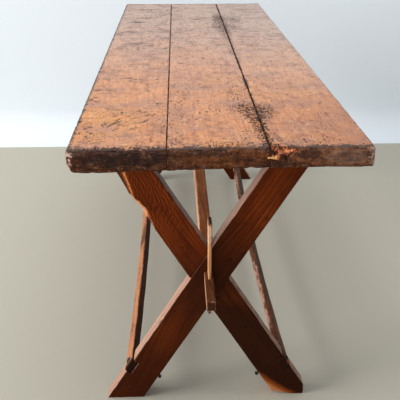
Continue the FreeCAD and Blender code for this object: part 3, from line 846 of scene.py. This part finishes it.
# %% Scars in the top
SCARS = {
    "left": [
        ((-214, -839), (-226, -876), 1.6, 1.8), ((-226, -876), (-234, -899), 3.0, 2.8),
        ((-208, -856), (-226, -892), 1.4, 1.4), ((-211, -914), (-225, -932), 1.8, 1.8),
        ((-250, -889), (-246, -903), 2.0, 2.0), ((-244, -876), (-241, -888), 1.6, 1.6),
        ((-238, -903), (-235, -914), 1.6, 1.6), ((-173, -835), (-187, -838), 2.6, 1.4),
        ((-148, -841), (-159, -861), 1.4, 1.2), ((-134, -806), (-143, -821), 1.4, 1.2),
        ((-158, -793), (-171, -793), 2.0, 1.0), ((-137, -870), (-151, -884), 1.4, 1.0),
        ((-115, -955), (-123, -947), 2.2, 1.4), ((-138, -1009), (-140, -999), 2.0, 1.4),
        ((-304, -888, 757), (-302, -866, 757), 4.0, 3.0),
        ((-305, -790, 757), (-303, -772, 757), 3.4, 3.0),
        ((-294, -678), (-292, -664), 3.6, 2.4), ((-291, -583), (-280, -576), 4.0, 1.8),
        ((-290, -647), (-282, -652), 3.4, 1.8), ((-286, -686), (-278, -692), 3.4, 1.8),
        ((-240, 858), (-152, 894), 8.0, 1.0), ((-259, 529), (-224, 515), 7.0, 1.0),
        ((-262, 314), (-224, 296), 6.0, 1.0), ((-236, 159), (-193, 172), 5.0, 0.9),
        ((-126, -27), (-114, -6), 6.0, 1.3), ((-300, -616), (-252, -606), 1.6, 1.4),
        ((-262, -608), (-200, -612), 1.4, 1.2),
    ],
    "middle": [
        ((-6, 623), (90, 619), 2.0, 1.4), ((24, -275), (79, -277), 2.4, 1.0),
        ((-38, 81), (-19, 13), 3.0, 0.8), ((48, 42), (60, 34), 6.0, 1.4),
        ((-5, -172), (-2, -190), 3.4, 1.3), ((-7, 584), (28, 609), 6.0, 1.0),
    ],
    "right": [
        ((246, 197), (298, 195), 2.2, 1.6), ((250, -344), (286, -352), 1.8, 1.4),
        ((177, -58), (216, -60), 1.6, 1.2), ((236, -803), (233, -865), 1.4, 0.6),
        ((233, -865), (224, -922), 1.4, 0.6), ((224, -922), (221, -994), 1.2, 0.5),
        ((239, -877), (247, -915), 1.2, 0.5), ((247, -915), (250, -988), 1.2, 0.5),
        ((251, -869), (256, -923), 1.2, 0.5), ((216, -929), (212, -1021), 1.2, 0.5),
        ((207, -868), (216, -871), 2.6, 1.1), ((197, 629), (254, 594), 6.0, 0.8),
        ((115, -1036), (119, -1051, 757), 2.6, 5.0),
        ((119, -1051, 757), (127, -1064, 747), 3.0, 6.0),
        ((127, -1064, 747), (130, -1064, 733), 2.6, 5.0),
    ],
}


def scar_end(x, y, height=round(TOP_FACE * 1000)):
    return Vector((x / 1000, y / 1000, height / 1000))


def gap_to_line(point, start, end):
    along = end - start
    share = bounded((point - start).dot(along) / along.length_squared)
    return (point - start - along * share).length


print("scars:", {side: len(scars) for side, scars in SCARS.items()})

# %% Carving the scars
DARK_DEPTH = 0.0013


def carve(shape, scars):
    """Sinks a groove along each scar and keeps its depth in the gouge layer."""
    lines = [(scar_end(*start), scar_end(*end), width / 1000, depth / 1000)
             for start, end, width, depth in scars]
    for start, end, width, _ in lines:
        middle, reach = (start + end) / 2, (start - end).length / 2 + 0.01
        near = [edge for edge in shape.edges if (edge.verts[0].co - middle).length < reach
                and gap_to_line((edge.verts[0].co + edge.verts[1].co) / 2, start, end) < width + 0.004]
        bmesh.ops.subdivide_edges(shape, edges=near, cuts=2, use_grid_fill=True)
    shape.normal_update()
    layer = shape.verts.layers.float.new("gouge")
    for start, end, width, depth in lines:
        middle, reach = (start + end) / 2, (start - end).length / 2 + 2 * width
        for vert in shape.verts:
            if (vert.co - middle).length < reach:
                sunk = max(0.0, 1 - gap_to_line(vert.co, start, end) / (2 * width)) ** 1.5
                vert[layer] = max(vert[layer], sunk * min(1.0, depth / DARK_DEPTH))
                outwards = Vector((vert.normal.x, vert.normal.y, max(0.0, vert.normal.z)))
                vert.co -= outwards * depth * sunk


print("grooves are dark from", DARK_DEPTH * 1000, "mm down")

# %% [markdown]
# ## Knocked ends
# The ends of the planks have been knocked about most. Their arrises are pushed in and rounded by uneven
# amounts. The left plank's near end also sags a little, and the right plank is a few millimetres shorter.
# They could be sculpted by hand, but noise gives the same ends every time, with a seed for each plank.

# %% Knocked ends
FRONT_END = cad_box[0].y
BACK_END = cad_box[1].y
KNOCK_REACH = 0.026
UPPER_REACH = 0.024
LOWER_REACH = 0.016
SAG = 0.0055
SHORTFALL = 0.005


def knock_one_end(vert, depth, inward, drop, seed):
    """Knocks the arrises of one end in unevenly: depth is how far the point lies from that end."""
    x, _, z = vert.co
    near = bounded((KNOCK_REACH - depth) / KNOCK_REACH)
    upper = bounded((z - TOP_FACE + UPPER_REACH) / UPPER_REACH)
    lower = bounded((UNDERSIDE + LOWER_REACH - z) / LOWER_REACH)
    swell = 0.5 + 0.5 * noise.noise((x * 16, seed, z * 30))
    bite = max(0.0, noise.noise((x * 60, seed + 5, z * 50)))
    vert.co.y += inward * near * (0.0020 * swell + 0.0035 * bite + 0.004 * upper * upper * swell)
    vert.co.z -= near * near * upper * (0.0004 + drop * swell + 0.003 * bite)
    vert.co.z += near * near * lower * (0.001 * swell + 0.003 * bite)


def knock_ends(shape, seed):
    for vert in shape.verts:
        x, y, z = vert.co
        overhang = bounded((FRONT_END + 0.20 - y) / 0.12)
        leftness = bounded((0.02 - x) / 0.26)
        rightness = bounded((x + 0.02) / 0.22)
        vert.co.z -= SAG * overhang * leftness * (TOP_FACE - z) / (TOP_FACE - UNDERSIDE)
        vert.co.y += SHORTFALL * rightness * bounded((FRONT_END + 0.08 - y) / 0.08)
        knock_one_end(vert, y - FRONT_END, 1, 0.001 + 0.005 * leftness, seed)
        knock_one_end(vert, BACK_END - y, -1, 0.006, seed + 20)


print("top", round(BACK_END - FRONT_END, 3), "m long")

# %% [markdown]
# ## Stains, wear and scores on the top
# Stains gather along the right seam, where spills ran into the gap, and along the near end. Each is an oval
# with a strength, and where ovals overlap the strongest counts. More ovals mark the wood that is warm in
# colour and the wood that knives have scored, both on the left plank. They could be painted on an image, but
# ovals on the points need no unwrapping.

# %% Stains, wear and scores on the top
STAINS = [
    (0.074, -0.765, 0.038, 0.08, 1.0), (0.09, -0.8, 0.036, 0.115, 1.25),
    (0.116, -0.79, 0.034, 0.09, 0.9), (0.092, -0.87, 0.028, 0.1, 1.1), (0.094, -0.95, 0.022, 0.1, 1.15),
    (0.095, -1.01, 0.02, 0.09, 1.1), (0.072, -0.975, 0.036, 0.095, 0.5), (0.115, -1.0, 0.026, 0.07, 0.6),
    (0.09, 0.48, 0.042, 0.3, 0.95), (0.14, 0.56, 0.046, 0.15, 0.8), (0.088, 0.61, 0.038, 0.15, 1.05),
    (0.094, 0.08, 0.022, 0.3, 0.6), (0.092, 0.33, 0.03, 0.18, 0.95), (0.125, 0.4, 0.034, 0.12, 0.7),
    (0.17, -1.045, 0.07, 0.04, 0.55), (-0.282, -0.965, 0.026, 0.09, 0.4),
    (-0.25, -1.055, 0.034, 0.02, 0.8), (-0.085, -0.7, 0.04, 0.22, 0.38),
    (-0.095, -0.98, 0.03, 0.12, 0.4), (0.01, -1.046, 0.1, 0.04, 0.85), (-0.16, -1.054, 0.11, 0.03, 0.65),
    (0.066, -0.6, 0.05, 0.15, 0.5), (0.055, -0.43, 0.055, 0.11, 0.32),
]


def spot(point, x, y, reach_x, reach_y):
    """1 in the middle of an oval on the top, 0 outside it."""
    return max(0.0, 1 - ((point.x - x) / reach_x) ** 2 - ((point.y - y) / reach_y) ** 2)


def stain_at(point, normal):
    if normal.z < 0.3:
        return 0.0
    return max(strength * spot(point, *oval) ** 0.7 for *oval, strength in STAINS)


def warm_at(point, normal):
    return spot(point, -0.235, -0.86, 0.10, 0.22)


def scored_at(point, normal):
    return max(spot(point, -0.235, -0.865, 0.060, 0.085), 0.8 * spot(point, -0.155, -0.84, 0.060, 0.13))


print("stains:", len(STAINS))

# %% [markdown]
# ## Grime along the edges
# Dirt gathers where a cloth doesn't reach: along the ends, the long sides and the seams. The mask falls off
# with the distance from each of these lines, and noise makes its border ragged. A seam isn't quite parallel
# to the sides, so it is given by its place at both ends.

# %% Grime along the edges
LEFT_SIDE = cad_box[0].x
RIGHT_SIDE_FRONT = cad_box[1].x
RIGHT_TAPER = 0.0098
SEAM_LINES = ((-0.109, -0.102), (0.096, 0.101))
GRIME_ON_SIDES = 0.2


def rim_at(point, normal):
    if normal.z < 0.2:
        return GRIME_ON_SIDES
    share = (point.y - FRONT_END) / (BACK_END - FRONT_END)
    gaps = [abs(point.x - front - (back - front) * share) for front, back in SEAM_LINES]
    ragged = noise.noise((point.x * 40, point.y * 40, 3.0))
    front = (1.3 if point.x > 0.13 else 1.12) - (point.y - FRONT_END) / 0.032 + 0.35 * ragged
    back = 1.5 - (BACK_END - point.y) / 0.030
    left_side = 0.95 - (point.x - LEFT_SIDE) / 0.014 + 0.4 * ragged
    right_side = 0.85 - (RIGHT_SIDE_FRONT - RIGHT_TAPER * share - point.x) / 0.008 + 0.3 * ragged
    left_seam = 0.8 - gaps[0] / (0.0036 + 0.0035 * share + 0.0025 * noise.noise((0, point.y * 60, 9)))
    right_seam = 1.0 - gaps[1] / (0.007 + 0.005 * noise.noise((0, point.y * 9, 0)) + 0.004 * ragged)
    return max(front, back, left_side, right_side, left_seam, right_seam)


def sawn_at(point, normal):
    return (abs(normal.y) - 0.35) * 3


def flank_at(point, normal):
    return (0.55 - normal.z) * 3


print("right side tapers by", RIGHT_TAPER * 1000, "mm")

# %% [markdown]
# ## Marks on the near end
# The end that faces the camera has dark blots, a patch that was planed smooth, two corners painted pale, partly
# scuffed and partly a painted highlight, and the slope of torn wood where a corner broke off beside the right
# seam. Blots and patch are ovals on the end face.

# %% Marks on the near end
END_BLOTS = [
    (0.174, 0.747, 0.030, 0.014, 1.0), (0.040, 0.738, 0.028, 0.009, 0.8), (-0.02, 0.752, 0.07, 0.010, 0.75),
    (-0.20, 0.742, 0.12, 0.018, 0.7), (0.297, 0.742, 0.012, 0.014, 0.8), (0.11, 0.727, 0.06, 0.010, 0.7),
]
PLANED_PATCH = (0.251, 0.740, 0.046, 0.015)
SCUFF_REACH = 0.030
BROKEN_CORNER = Vector((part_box("top_plank_right")[0].x, FRONT_END, TOP_FACE))
BROKEN_SIZE = Vector((0.056, 0.026, 0.028))


def end_oval(point, x, z, reach_x, reach_z):
    """1 in the middle of an oval on the near end, 0 outside it."""
    if point.y > FRONT_END + 0.02:
        return 0.0
    return max(0.0, 1 - ((point.x - x) / reach_x) ** 2 - ((point.z - z) / reach_z) ** 2)


def blot_at(point, normal):
    return max(strength * end_oval(point, *oval) ** 0.6 for *oval, strength in END_BLOTS)


def planed_at(point, normal):
    return end_oval(point, *PLANED_PATCH) if normal.y < -0.4 else 0.0


# The pale near corners: partly scuffed wood, partly a painted highlight.
def scuffed_and_highlight_at(point, normal):
    left = 0.75 - math.hypot(point.x - LEFT_SIDE, point.y - FRONT_END) / SCUFF_REACH
    right = 0.78 - math.hypot(point.x - RIGHT_SIDE_FRONT, point.y - FRONT_END - 0.006) / SCUFF_REACH
    return max(left, right)


def fresh_at(point, normal):
    """1 on the slope left by the broken corner, which cuts its size off each of three edges."""
    if point.y > FRONT_END + 0.03:
        return 0.0
    away = point - BROKEN_CORNER
    inside = away.x / BROKEN_SIZE.x + away.y / BROKEN_SIZE.y - away.z / BROKEN_SIZE.z
    return 1 - abs(inside - 1.04) * 7 - max(0.0, TOP_FACE - 0.018 - point.z) * 60


print("broken corner at", [round(value, 3) for value in BROKEN_CORNER])

# %% [markdown]
# ## The three planks
# The planks get the finest cells at the near end, where the wear is, and finer ones again at the far end.
# The order matters: masks that follow the clean shape come first, then the knocks and the wear, then the
# scars, and last the masks that read the worn surface.

# %% The three planks
NEAR_ZONE = 0.10
NEAR_ROW = 0.0025
FAR_ROW = 0.0085
END_ROW = 0.0034
END_ROWS = 7
TEAR_DEPTH = 0.004
TOP_MASKS = {"stain": stain_at, "rim": rim_at, "sawn": sawn_at, "flank": flank_at, "warm": warm_at,
             "scored": scored_at, "scuffed_and_highlight": scuffed_and_highlight_at, "blot": blot_at, "planed": planed_at}

far_start = FRONT_END + NEAR_ZONE
far_count = int((BACK_END - far_start) / FAR_ROW)
far_step = (BACK_END - far_start) / far_count
plank_rows = [FRONT_END + NEAR_ROW * (step + 1) for step in range(int(NEAR_ZONE / NEAR_ROW))]
plank_rows += [far_start + far_step * (step + 0.5) for step in range(far_count - 3)]
plank_rows += [BACK_END - END_ROW * (step + 1) for step in reversed(range(END_ROWS))]

for seed, side in enumerate(("left", "middle", "right")):
    shape = merged_copy("top_plank_" + side)
    round_arrises(shape, 0.0012)
    slice_up(shape, LENGTHWISE, plank_rows)
    slice_up(shape, UP, even_places(shape, UP, 0.004))
    slice_up(shape, ACROSS, even_places(shape, ACROSS, 0.0032))
    paint(shape, "plank", lambda point, normal: seed / 2)
    paint(shape, "fresh", fresh_at if side == "right" else lambda point, normal: 0.0)
    knock_ends(shape, seed)
    weather(shape, LONG_AXES, 0.0007, 0.0045, seed)
    torn = shape.verts.layers.float["fresh"]
    for vert in shape.verts:
        vert.co -= vert.normal * TEAR_DEPTH * vert[torn] * (0.5 + 0.5 * noise.noise(vert.co * 110))
    carve(shape, SCARS[side])
    for name, amount in TOP_MASKS.items():
        paint(shape, name, amount)
    finish_piece(shape, "worn_plank_" + side, "table", TOP_WOOD, "top_plank_" + side)

# %% [markdown]
# ## Dirt in the seams
# The planks have shrunk apart, and years of crumbs and polish have packed the gaps. Each filling is a cube
# stretched into a thin strip that follows the seam from end to end. It is sliced like the planks, so that its
# upper side can lie unevenly, and where the gap is full the dirt is polished brown instead of black. Without
# the strips, light would shine through the seams.

# %% Finish of the dirt
def packed_dirt():
    made, tree, shader, place = start_material("packed_dirt")
    crumbs = cloud(tree, place, (260, 120, 260), 4, 0.65)
    black = ramp(tree, crumbs, [(0.35, tone(20, 11, 7)), (0.65, tone(50, 29, 19))])
    brown = ramp(tree, crumbs, [(0.35, tone(84, 48, 29)), (0.65, tone(140, 88, 58))])
    colour = mix(tree, painted(tree, "full"), black, brown)
    shader["Specular IOR Level"].default_value = 0.04
    dress(tree, shader, colour, calc(tree, "MULTIPLY_ADD", crumbs, 0.2, 0.75), crumbs, 0.001)
    return made


DIRT = packed_dirt()
print(DIRT.name, len(DIRT.node_tree.nodes), "nodes")

# %% Strips of dirt
SEAMS = {"left_seam_dirt": ("top_plank_left", "top_plank_middle"),
         "right_seam_dirt": ("top_plank_middle", "top_plank_right")}
OVERLAP = 0.001
SETBACK = 0.0015
SINK = 0.003

dirt_rows = [FRONT_END + 0.006 + 0.003 * step for step in range(10)]
dirt_rows += [FRONT_END + 0.04 + 0.008 * step for step in range(262)]


def side_at(plank, pick, end):
    """Where a plank's side lies at one end of the table: pick is max for its right side, min for its left."""
    return pick(vert.co.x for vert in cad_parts[plank].data.vertices if abs(vert.co.y - end) < 0.02)


for seed, (name, (left_plank, right_plank)) in enumerate(SEAMS.items()):
    strip = bmesh.new()
    bmesh.ops.create_cube(strip, size=1.0)
    for vert in strip.verts:
        end = BACK_END if vert.co.y > 0 else FRONT_END
        if vert.co.x < 0:
            x = side_at(left_plank, max, end) - OVERLAP
        else:
            x = side_at(right_plank, min, end) + OVERLAP
        z = TOP_FACE - OVERLAP if vert.co.z > 0 else UNDERSIDE + OVERLAP
        vert.co = (x, end - math.copysign(SETBACK, end), z)
    slice_up(strip, LENGTHWISE, dirt_rows)
    slice_up(strip, UP, even_places(strip, UP, 0.005))
    fullness = strip.verts.layers.float.new("full")
    for vert in strip.verts:
        level = bounded(0.5 - 0.3 * seed + 1.3 * noise.noise((seed, vert.co.y * 31, 0)))
        vert[fullness] = 0.3 if vert.co.y < FRONT_END + 0.002 else level
        if vert.co.z > TOP_FACE - 0.002:
            vert.co.z -= SINK * (1 - level)
    knock_ends(strip, seed)
    finish_piece(strip, name, "table", DIRT)

# %% [markdown]
# ## Splinter
# Where the corner broke off beside the right seam, one pale sliver still hangs on. It is a cube stretched
# thin, with its left end made thinner still and its arrises taken off by a bevel, so that it catches the
# light.

# %% Splinter
SPLINTER_PLACE = Vector((0.100, FRONT_END + 0.0075, 0.7405))
SPLINTER_SIZE = Vector((0.019, 0.012, 0.0052))
SPLINTER_TAPER = 0.45
SPLINTER_WAVE = 0.0012

sliver = bmesh.new()
bmesh.ops.create_cube(sliver, size=1.0)
bmesh.ops.scale(sliver, verts=sliver.verts, vec=SPLINTER_SIZE)
for vert in sliver.verts:
    if vert.co.x < 0:
        vert.co.z *= SPLINTER_TAPER
bmesh.ops.bevel(sliver, geom=sliver.edges[:], offset=0.0008, offset_type="OFFSET", segments=2, profile=0.5,
                affect="EDGES", material=-1)
bmesh.ops.subdivide_edges(sliver, edges=sliver.edges[:], cuts=3, use_grid_fill=True)
bmesh.ops.translate(sliver, verts=sliver.verts, vec=SPLINTER_PLACE)
for vert in sliver.verts:
    vert.co.z += SPLINTER_WAVE * noise.noise(vert.co * 160)

pale_wood, tree, shader, place = start_material("torn_pale_wood")
shreds = cloud(tree, place, (160, 300, 420), 4, 0.65)
colour = ramp(tree, shreds, [
    (0.34, tone(160, 94, 44)), (0.52, tone(226, 160, 92)), (0.68, tone(250, 214, 160)),
])
dress(tree, shader, colour, calc(tree, "MULTIPLY_ADD", shreds, 0.2, 0.6), shreds, 0.0006)
finish_piece(sliver, "splinter", "table", pale_wood)

# %% [markdown]
# ## Bark edge
# The near leg that climbs to the left keeps the bark edge of its log: a wavy hollow along its outer side,
# where bare wood shows. The hollow grows wider towards the top. Its points sink towards the back of the leg,
# and two masks mark the bare rim of the hollow and the dirt in it. A boolean could cut it, but moved points
# keep the small cells that carry the masks. The same leg's toe is scraped bare by boots.

# %% Crossing and shape of the bark edge
CROSSING = Vector((-0.012, 0, 0.350))
CROSSING_REACH = 0.18
BARK_FOOT = 0.557
BARK_CLIMB = 0.071
BARK_WIDTH = 0.020
BARK_DEPTH = 0.022
BARK_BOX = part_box("front_leg_climbing_left")
BARK_FACE, BARK_BACK = BARK_BOX[0].y, BARK_BOX[1].y
BARK_ACROSS = leg_axes(-1)[0]
BARK_SIDE = Vector((BARK_BOX[0].x, 0, BARK_BOX[1].z)).dot(BARK_ACROSS)


def bark_width(point):
    climb = min(1.6, max(0.0, (point.z - BARK_FOOT) / BARK_CLIMB))
    return BARK_WIDTH * climb * (1 + 0.15 * noise.noise((point.z * 38, 0, 0))) + 1e-4


def inward_of(point):
    """How far a point lies from the leg's outer side."""
    return point.dot(BARK_ACROSS) - BARK_SIDE


def sink_bark(shape):
    widths = [(inward_of(vert.co), bark_width(vert.co)) for vert in shape.verts]
    for vert, (inward, width) in zip(shape.verts, widths):
        if inward < width:
            sunk = BARK_DEPTH * (1 - max(0.0, inward) / width) * min(1.0, width / BARK_WIDTH)
            vert.co.y += sunk * (BARK_BACK - vert.co.y) / (BARK_BACK - BARK_FACE)


print("bark edge from", BARK_FOOT, "m up")

# %% Bare wood, dirt and painted shade on the legs
HEEL = 0.505
TOE = 0.085


def crossing_shade_at(point, normal):
    """Painted shade round the crossing of the legs."""
    if normal.y > -0.5:
        return 0.0
    gap = math.hypot(point.x - CROSSING.x, point.z - CROSSING.z)
    return max(0.0, 1 - gap / CROSSING_REACH) ** 0.6


def bare_at(point, normal):
    """The rim of the bark hollow, the corner below it, and the toe."""
    if point.y > BARK_FACE + 0.03:
        return 0.0
    inward = inward_of(point)
    sway = noise.noise((point.z * 22, 2.0, 0))
    if point.z > BARK_FOOT:
        width = bark_width(point)
        return 1.25 - abs(inward - width - 0.001) / (0.0024 + 0.11 * width) + 0.25 * sway
    if point.z > HEEL:
        reach = 0.010 * min(1.0, (point.z - HEEL) / 0.02) + 0.002 * sway
        return (reach - inward) * 260 + 0.5
    if point.z < TOE:
        return (1 - point.z / TOE) * 1.5 - max(0.0, inward - 0.004) * 24 + 0.2 * sway
    return 0.0


# Dirt in the bark hollow, and painted shade on the front of the leg below the crossing and round the crossing.
def bark_dirt_and_shade_at(point, normal):
    hollow = (bark_width(point) - inward_of(point) - 0.004) * 250
    shaded = min(0.95, (CROSSING.z - 0.02 - point.z) * 12) if normal.y < -0.5 else 0.0
    return max(hollow, shaded, crossing_shade_at(point, normal) ** 2)


def figured_at(point, normal):
    return (point.z - CROSSING.z - 0.06) * 8


print("toe scraped bare up to", TOE, "m")

# %% [markdown]
# ## The legs
# Each leg is sliced on its own slant, so that the cells run with the board. Upright cells would cross its
# arrises and leave steps in the wear. Its upper edge is painted pale, partly as wear from feet and dusters and
# partly as a painted highlight, more on the legs that climb to the right, whose upper edges face the lamp on
# the left.

# %% The legs
LEG_CELL = 0.0045


# Painted highlight with some wear on each leg's upper edge, stronger where the edge faces the lamp on the left.
def edge_wear_and_highlight_at(climb):
    across = leg_axes(climb)[0]
    strength = 0.78 if climb > 0 else 0.64
    return lambda point, normal: (-climb * normal.dot(across) - 0.6) * 2.2 * strength


for seed, (end, climb) in enumerate((("front", -1), ("front", 1), ("rear", -1), ("rear", 1))):
    node = end + "_leg_climbing_" + ("right" if climb > 0 else "left")
    axes = leg_axes(climb)
    shape = merged_copy(node)
    round_arrises(shape, 0.0016)
    for axis in (axes[1], axes[0], axes[2]):
        slice_up(shape, axis, even_places(shape, axis, LEG_CELL))
    weather(shape, (*axes, UP), 0.0008, 0.0022, seed + 10)
    paint(shape, "wear_and_highlight", edge_wear_and_highlight_at(climb))
    if node == "front_leg_climbing_left":
        sink_bark(shape)
        paint(shape, "bare", bare_at)
        paint(shape, "grime_and_shade", bark_dirt_and_shade_at)
        paint(shape, "figured", figured_at)
    else:
        paint(shape, "grime_and_shade", crossing_shade_at)
    paint(shape, "sawn", lambda point, normal: (abs(normal.z) - 0.93) * 12)
    finish_piece(shape, "worn_" + node, "table", LEG_WOOD[climb], node)

# %% [markdown]
# ## Sticks
# The rails, the stretcher, the cleats and the keys are all sticks, so one function wears them: it rounds the
# arrises, slices along the stick's own axes, and paints the masks that the piece asks for. A mask may have to
# look at the whole stick first, for instance to find its ends, so each is made by a function of the shape.

# %% Wearing a stick
def worn_stick(node, axes, cells, arris, dent, nick, seed, material, sawn_axis, wear,
               body="table"):
    shape = merged_copy(node)
    round_arrises(shape, arris)
    for axis, spacing in reversed(list(zip(axes, cells))):
        slice_up(shape, axis, even_places(shape, axis, spacing))
    weather(shape, axes, dent, nick, seed)
    paint(shape, "sawn", lambda point, normal: (abs(normal.dot(sawn_axis)) - 0.7) * 4)
    for name, amount in wear.items():
        paint(shape, name, amount(shape))
    finish_piece(shape, "worn_" + node, body, material, node)


# %% [markdown]
# ## Rails
# The foot rails are split rather than sawn and get the deepest dents. Their left sides, which face the light,
# are painted paler in patches, a painted highlight with some wear. Their right sides are darkened as painted
# shade, the ends in their housings are dark, and boots have scraped the near part of the right rail bare.

# %% Rails
# Painted highlight, with some wear, on the rail sides that face the lamp on the left.
def rail_highlight_and_wear(shape):
    return lambda point, normal: -0.75 * normal.x + 0.5 * noise.noise((point.x * 60, point.y * 7, 0))


# Painted shade on the right-facing sides; the ends in the housings are darker too.
def rail_shade_and_dark_ends(depth):
    def amount(shape):
        ends = max(abs(vert.co.y) for vert in shape.verts)
        return lambda point, normal: max(depth * normal.x, (abs(point.y) - ends) / 0.012 + 1.3)
    return amount


def rail_bare(shape):
    def amount(point, normal):
        near = bounded((-0.35 - point.y) * 4) * max(0.0, normal.x)
        return near * (0.35 + 0.9 * noise.noise((point.x * 90, point.y * 22, point.z * 90)))
    return amount


RAIL_WEAR = {"left_rail": {"wear_and_highlight": rail_highlight_and_wear, "grime_and_shade": rail_shade_and_dark_ends(1.2)},
             "right_rail": {"wear_and_highlight": rail_highlight_and_wear, "grime_and_shade": rail_shade_and_dark_ends(0.45), "bare": rail_bare}}
for seed, (node, climb) in enumerate((("left_rail", 1), ("right_rail", -1))):
    out, up_leg, lengthwise = leg_axes(climb)
    worn_stick(node, (up_leg, out, lengthwise), (0.005, 0.005, 0.009), 0.0025, 0.0012, 0.0035, seed + 20,
               LONG_WOOD[node], LENGTHWISE, RAIL_WEAR[node])

# %% [markdown]
# ## Stretcher, cleats and pegs
# The stretcher is planed, so its flats stay nearly true. Its left side, which faces the lamp, is painted paler
# in long patches as a painted highlight, and the tenons that stand out past the legs are darker on top and,
# as painted shade, on their right sides. The cleats are out of sight and only get worn arrises. The pegs keep
# their CAD shape, because only their ends show.

# %% Stretcher, cleats and pegs
# Tenons are darker on top, and on their right sides as painted shade.
def tenon_dark_and_shade(shape):
    face = abs(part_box("front_leg_climbing_right")[0].y)
    return lambda point, normal: 0.6 * max(normal.z, 0.8 * normal.x) if abs(point.y) > face else 0.0


# Painted highlight in long patches on the side that faces the lamp on the left.
def stretcher_highlight(shape):
    return lambda point, normal: -0.62 * normal.x + 0.45 * noise.noise((point.z * 30, point.y * 3.1, 4.0))


def refinish(node, material):
    """Gives a CAD node a finish and leaves its shape alone."""
    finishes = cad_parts[node].data.materials
    finishes.clear()
    finishes.append(material)
    print(node, "finished in", material.name)


worn_stick("stretcher", LONG_AXES, (0.005, 0.009, 0.006), 0.0018, 0.0005, 0.0025, 30, LONG_WOOD["stretcher"],
           LENGTHWISE, {"wear_and_highlight": stretcher_highlight, "grime_and_shade": tenon_dark_and_shade})
for seed, end in enumerate(("front", "rear")):
    worn_stick(end + "_cleat", CLEAT_AXES, (0.008, 0.010, 0.008), 0.002, 0.0006, 0.003, seed + 40,
               CLEAT_WOOD, ACROSS, {})
    for side in ("left", "right"):
        refinish(end + "_" + side + "_peg", CLEAT_WOOD)

# %% [markdown]
# ## Tusk keys
# A key is a slim tapered stick that has been driven with a mallet. It moves, so it rides on its own body and
# loses less wood than the rest: it has to stay clear of the mortise that it slides in. It is pale and rubbed
# towards the top, and dark at the split head and at the tip, and its right side is darkened as painted shade.

# %% Tusk keys
def key_rubbed(shape):
    high = max(vert.co.z for vert in shape.verts)
    return lambda point, normal: (point.z - high + 0.085) * 20


def key_dirt_and_shade(shape):
    low, high = (pick(vert.co.z for vert in shape.verts) for pick in (min, max))
    left, right = (pick(vert.co.x for vert in shape.verts) for pick in (min, max))

    def amount(point, normal):
        head, tip = (point.z - high + 0.012) * 90, (low + 0.03 - point.z) * 40
        # The side term is painted shade across the key; head, tip and flecks are dark marks of the key itself.
        side = 0.75 * (2 * point.x - left - right) / (right - left) + 0.3 * normal.x
        flecks = 0.0
        if point.z > high - 0.08:
            flecks = 1.4 * noise.noise((point.x * 260, point.y * 60, point.z * 70))
        return max(head, tip, side, flecks)
    return amount


for seed, end in enumerate(("front", "rear")):
    worn_stick(end + "_tusk_key", KEY_AXES, (0.002, 0.004, 0.004), 0.0012, 0.0002, 0.0015, seed + 50,
               KEY_WOOD, UP, {"wear_and_highlight": key_rubbed, "grime_and_shade": key_dirt_and_shade}, end + "_key")

# %% [markdown]
# ## Iron
# The nails and spikes are small and were modelled with their heads and burrs, so they keep their CAD shape
# and only get the finish of forged iron.

# %% Iron
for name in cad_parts:
    if "nails" in name or "spike" in name:
        refinish(name, IRON)
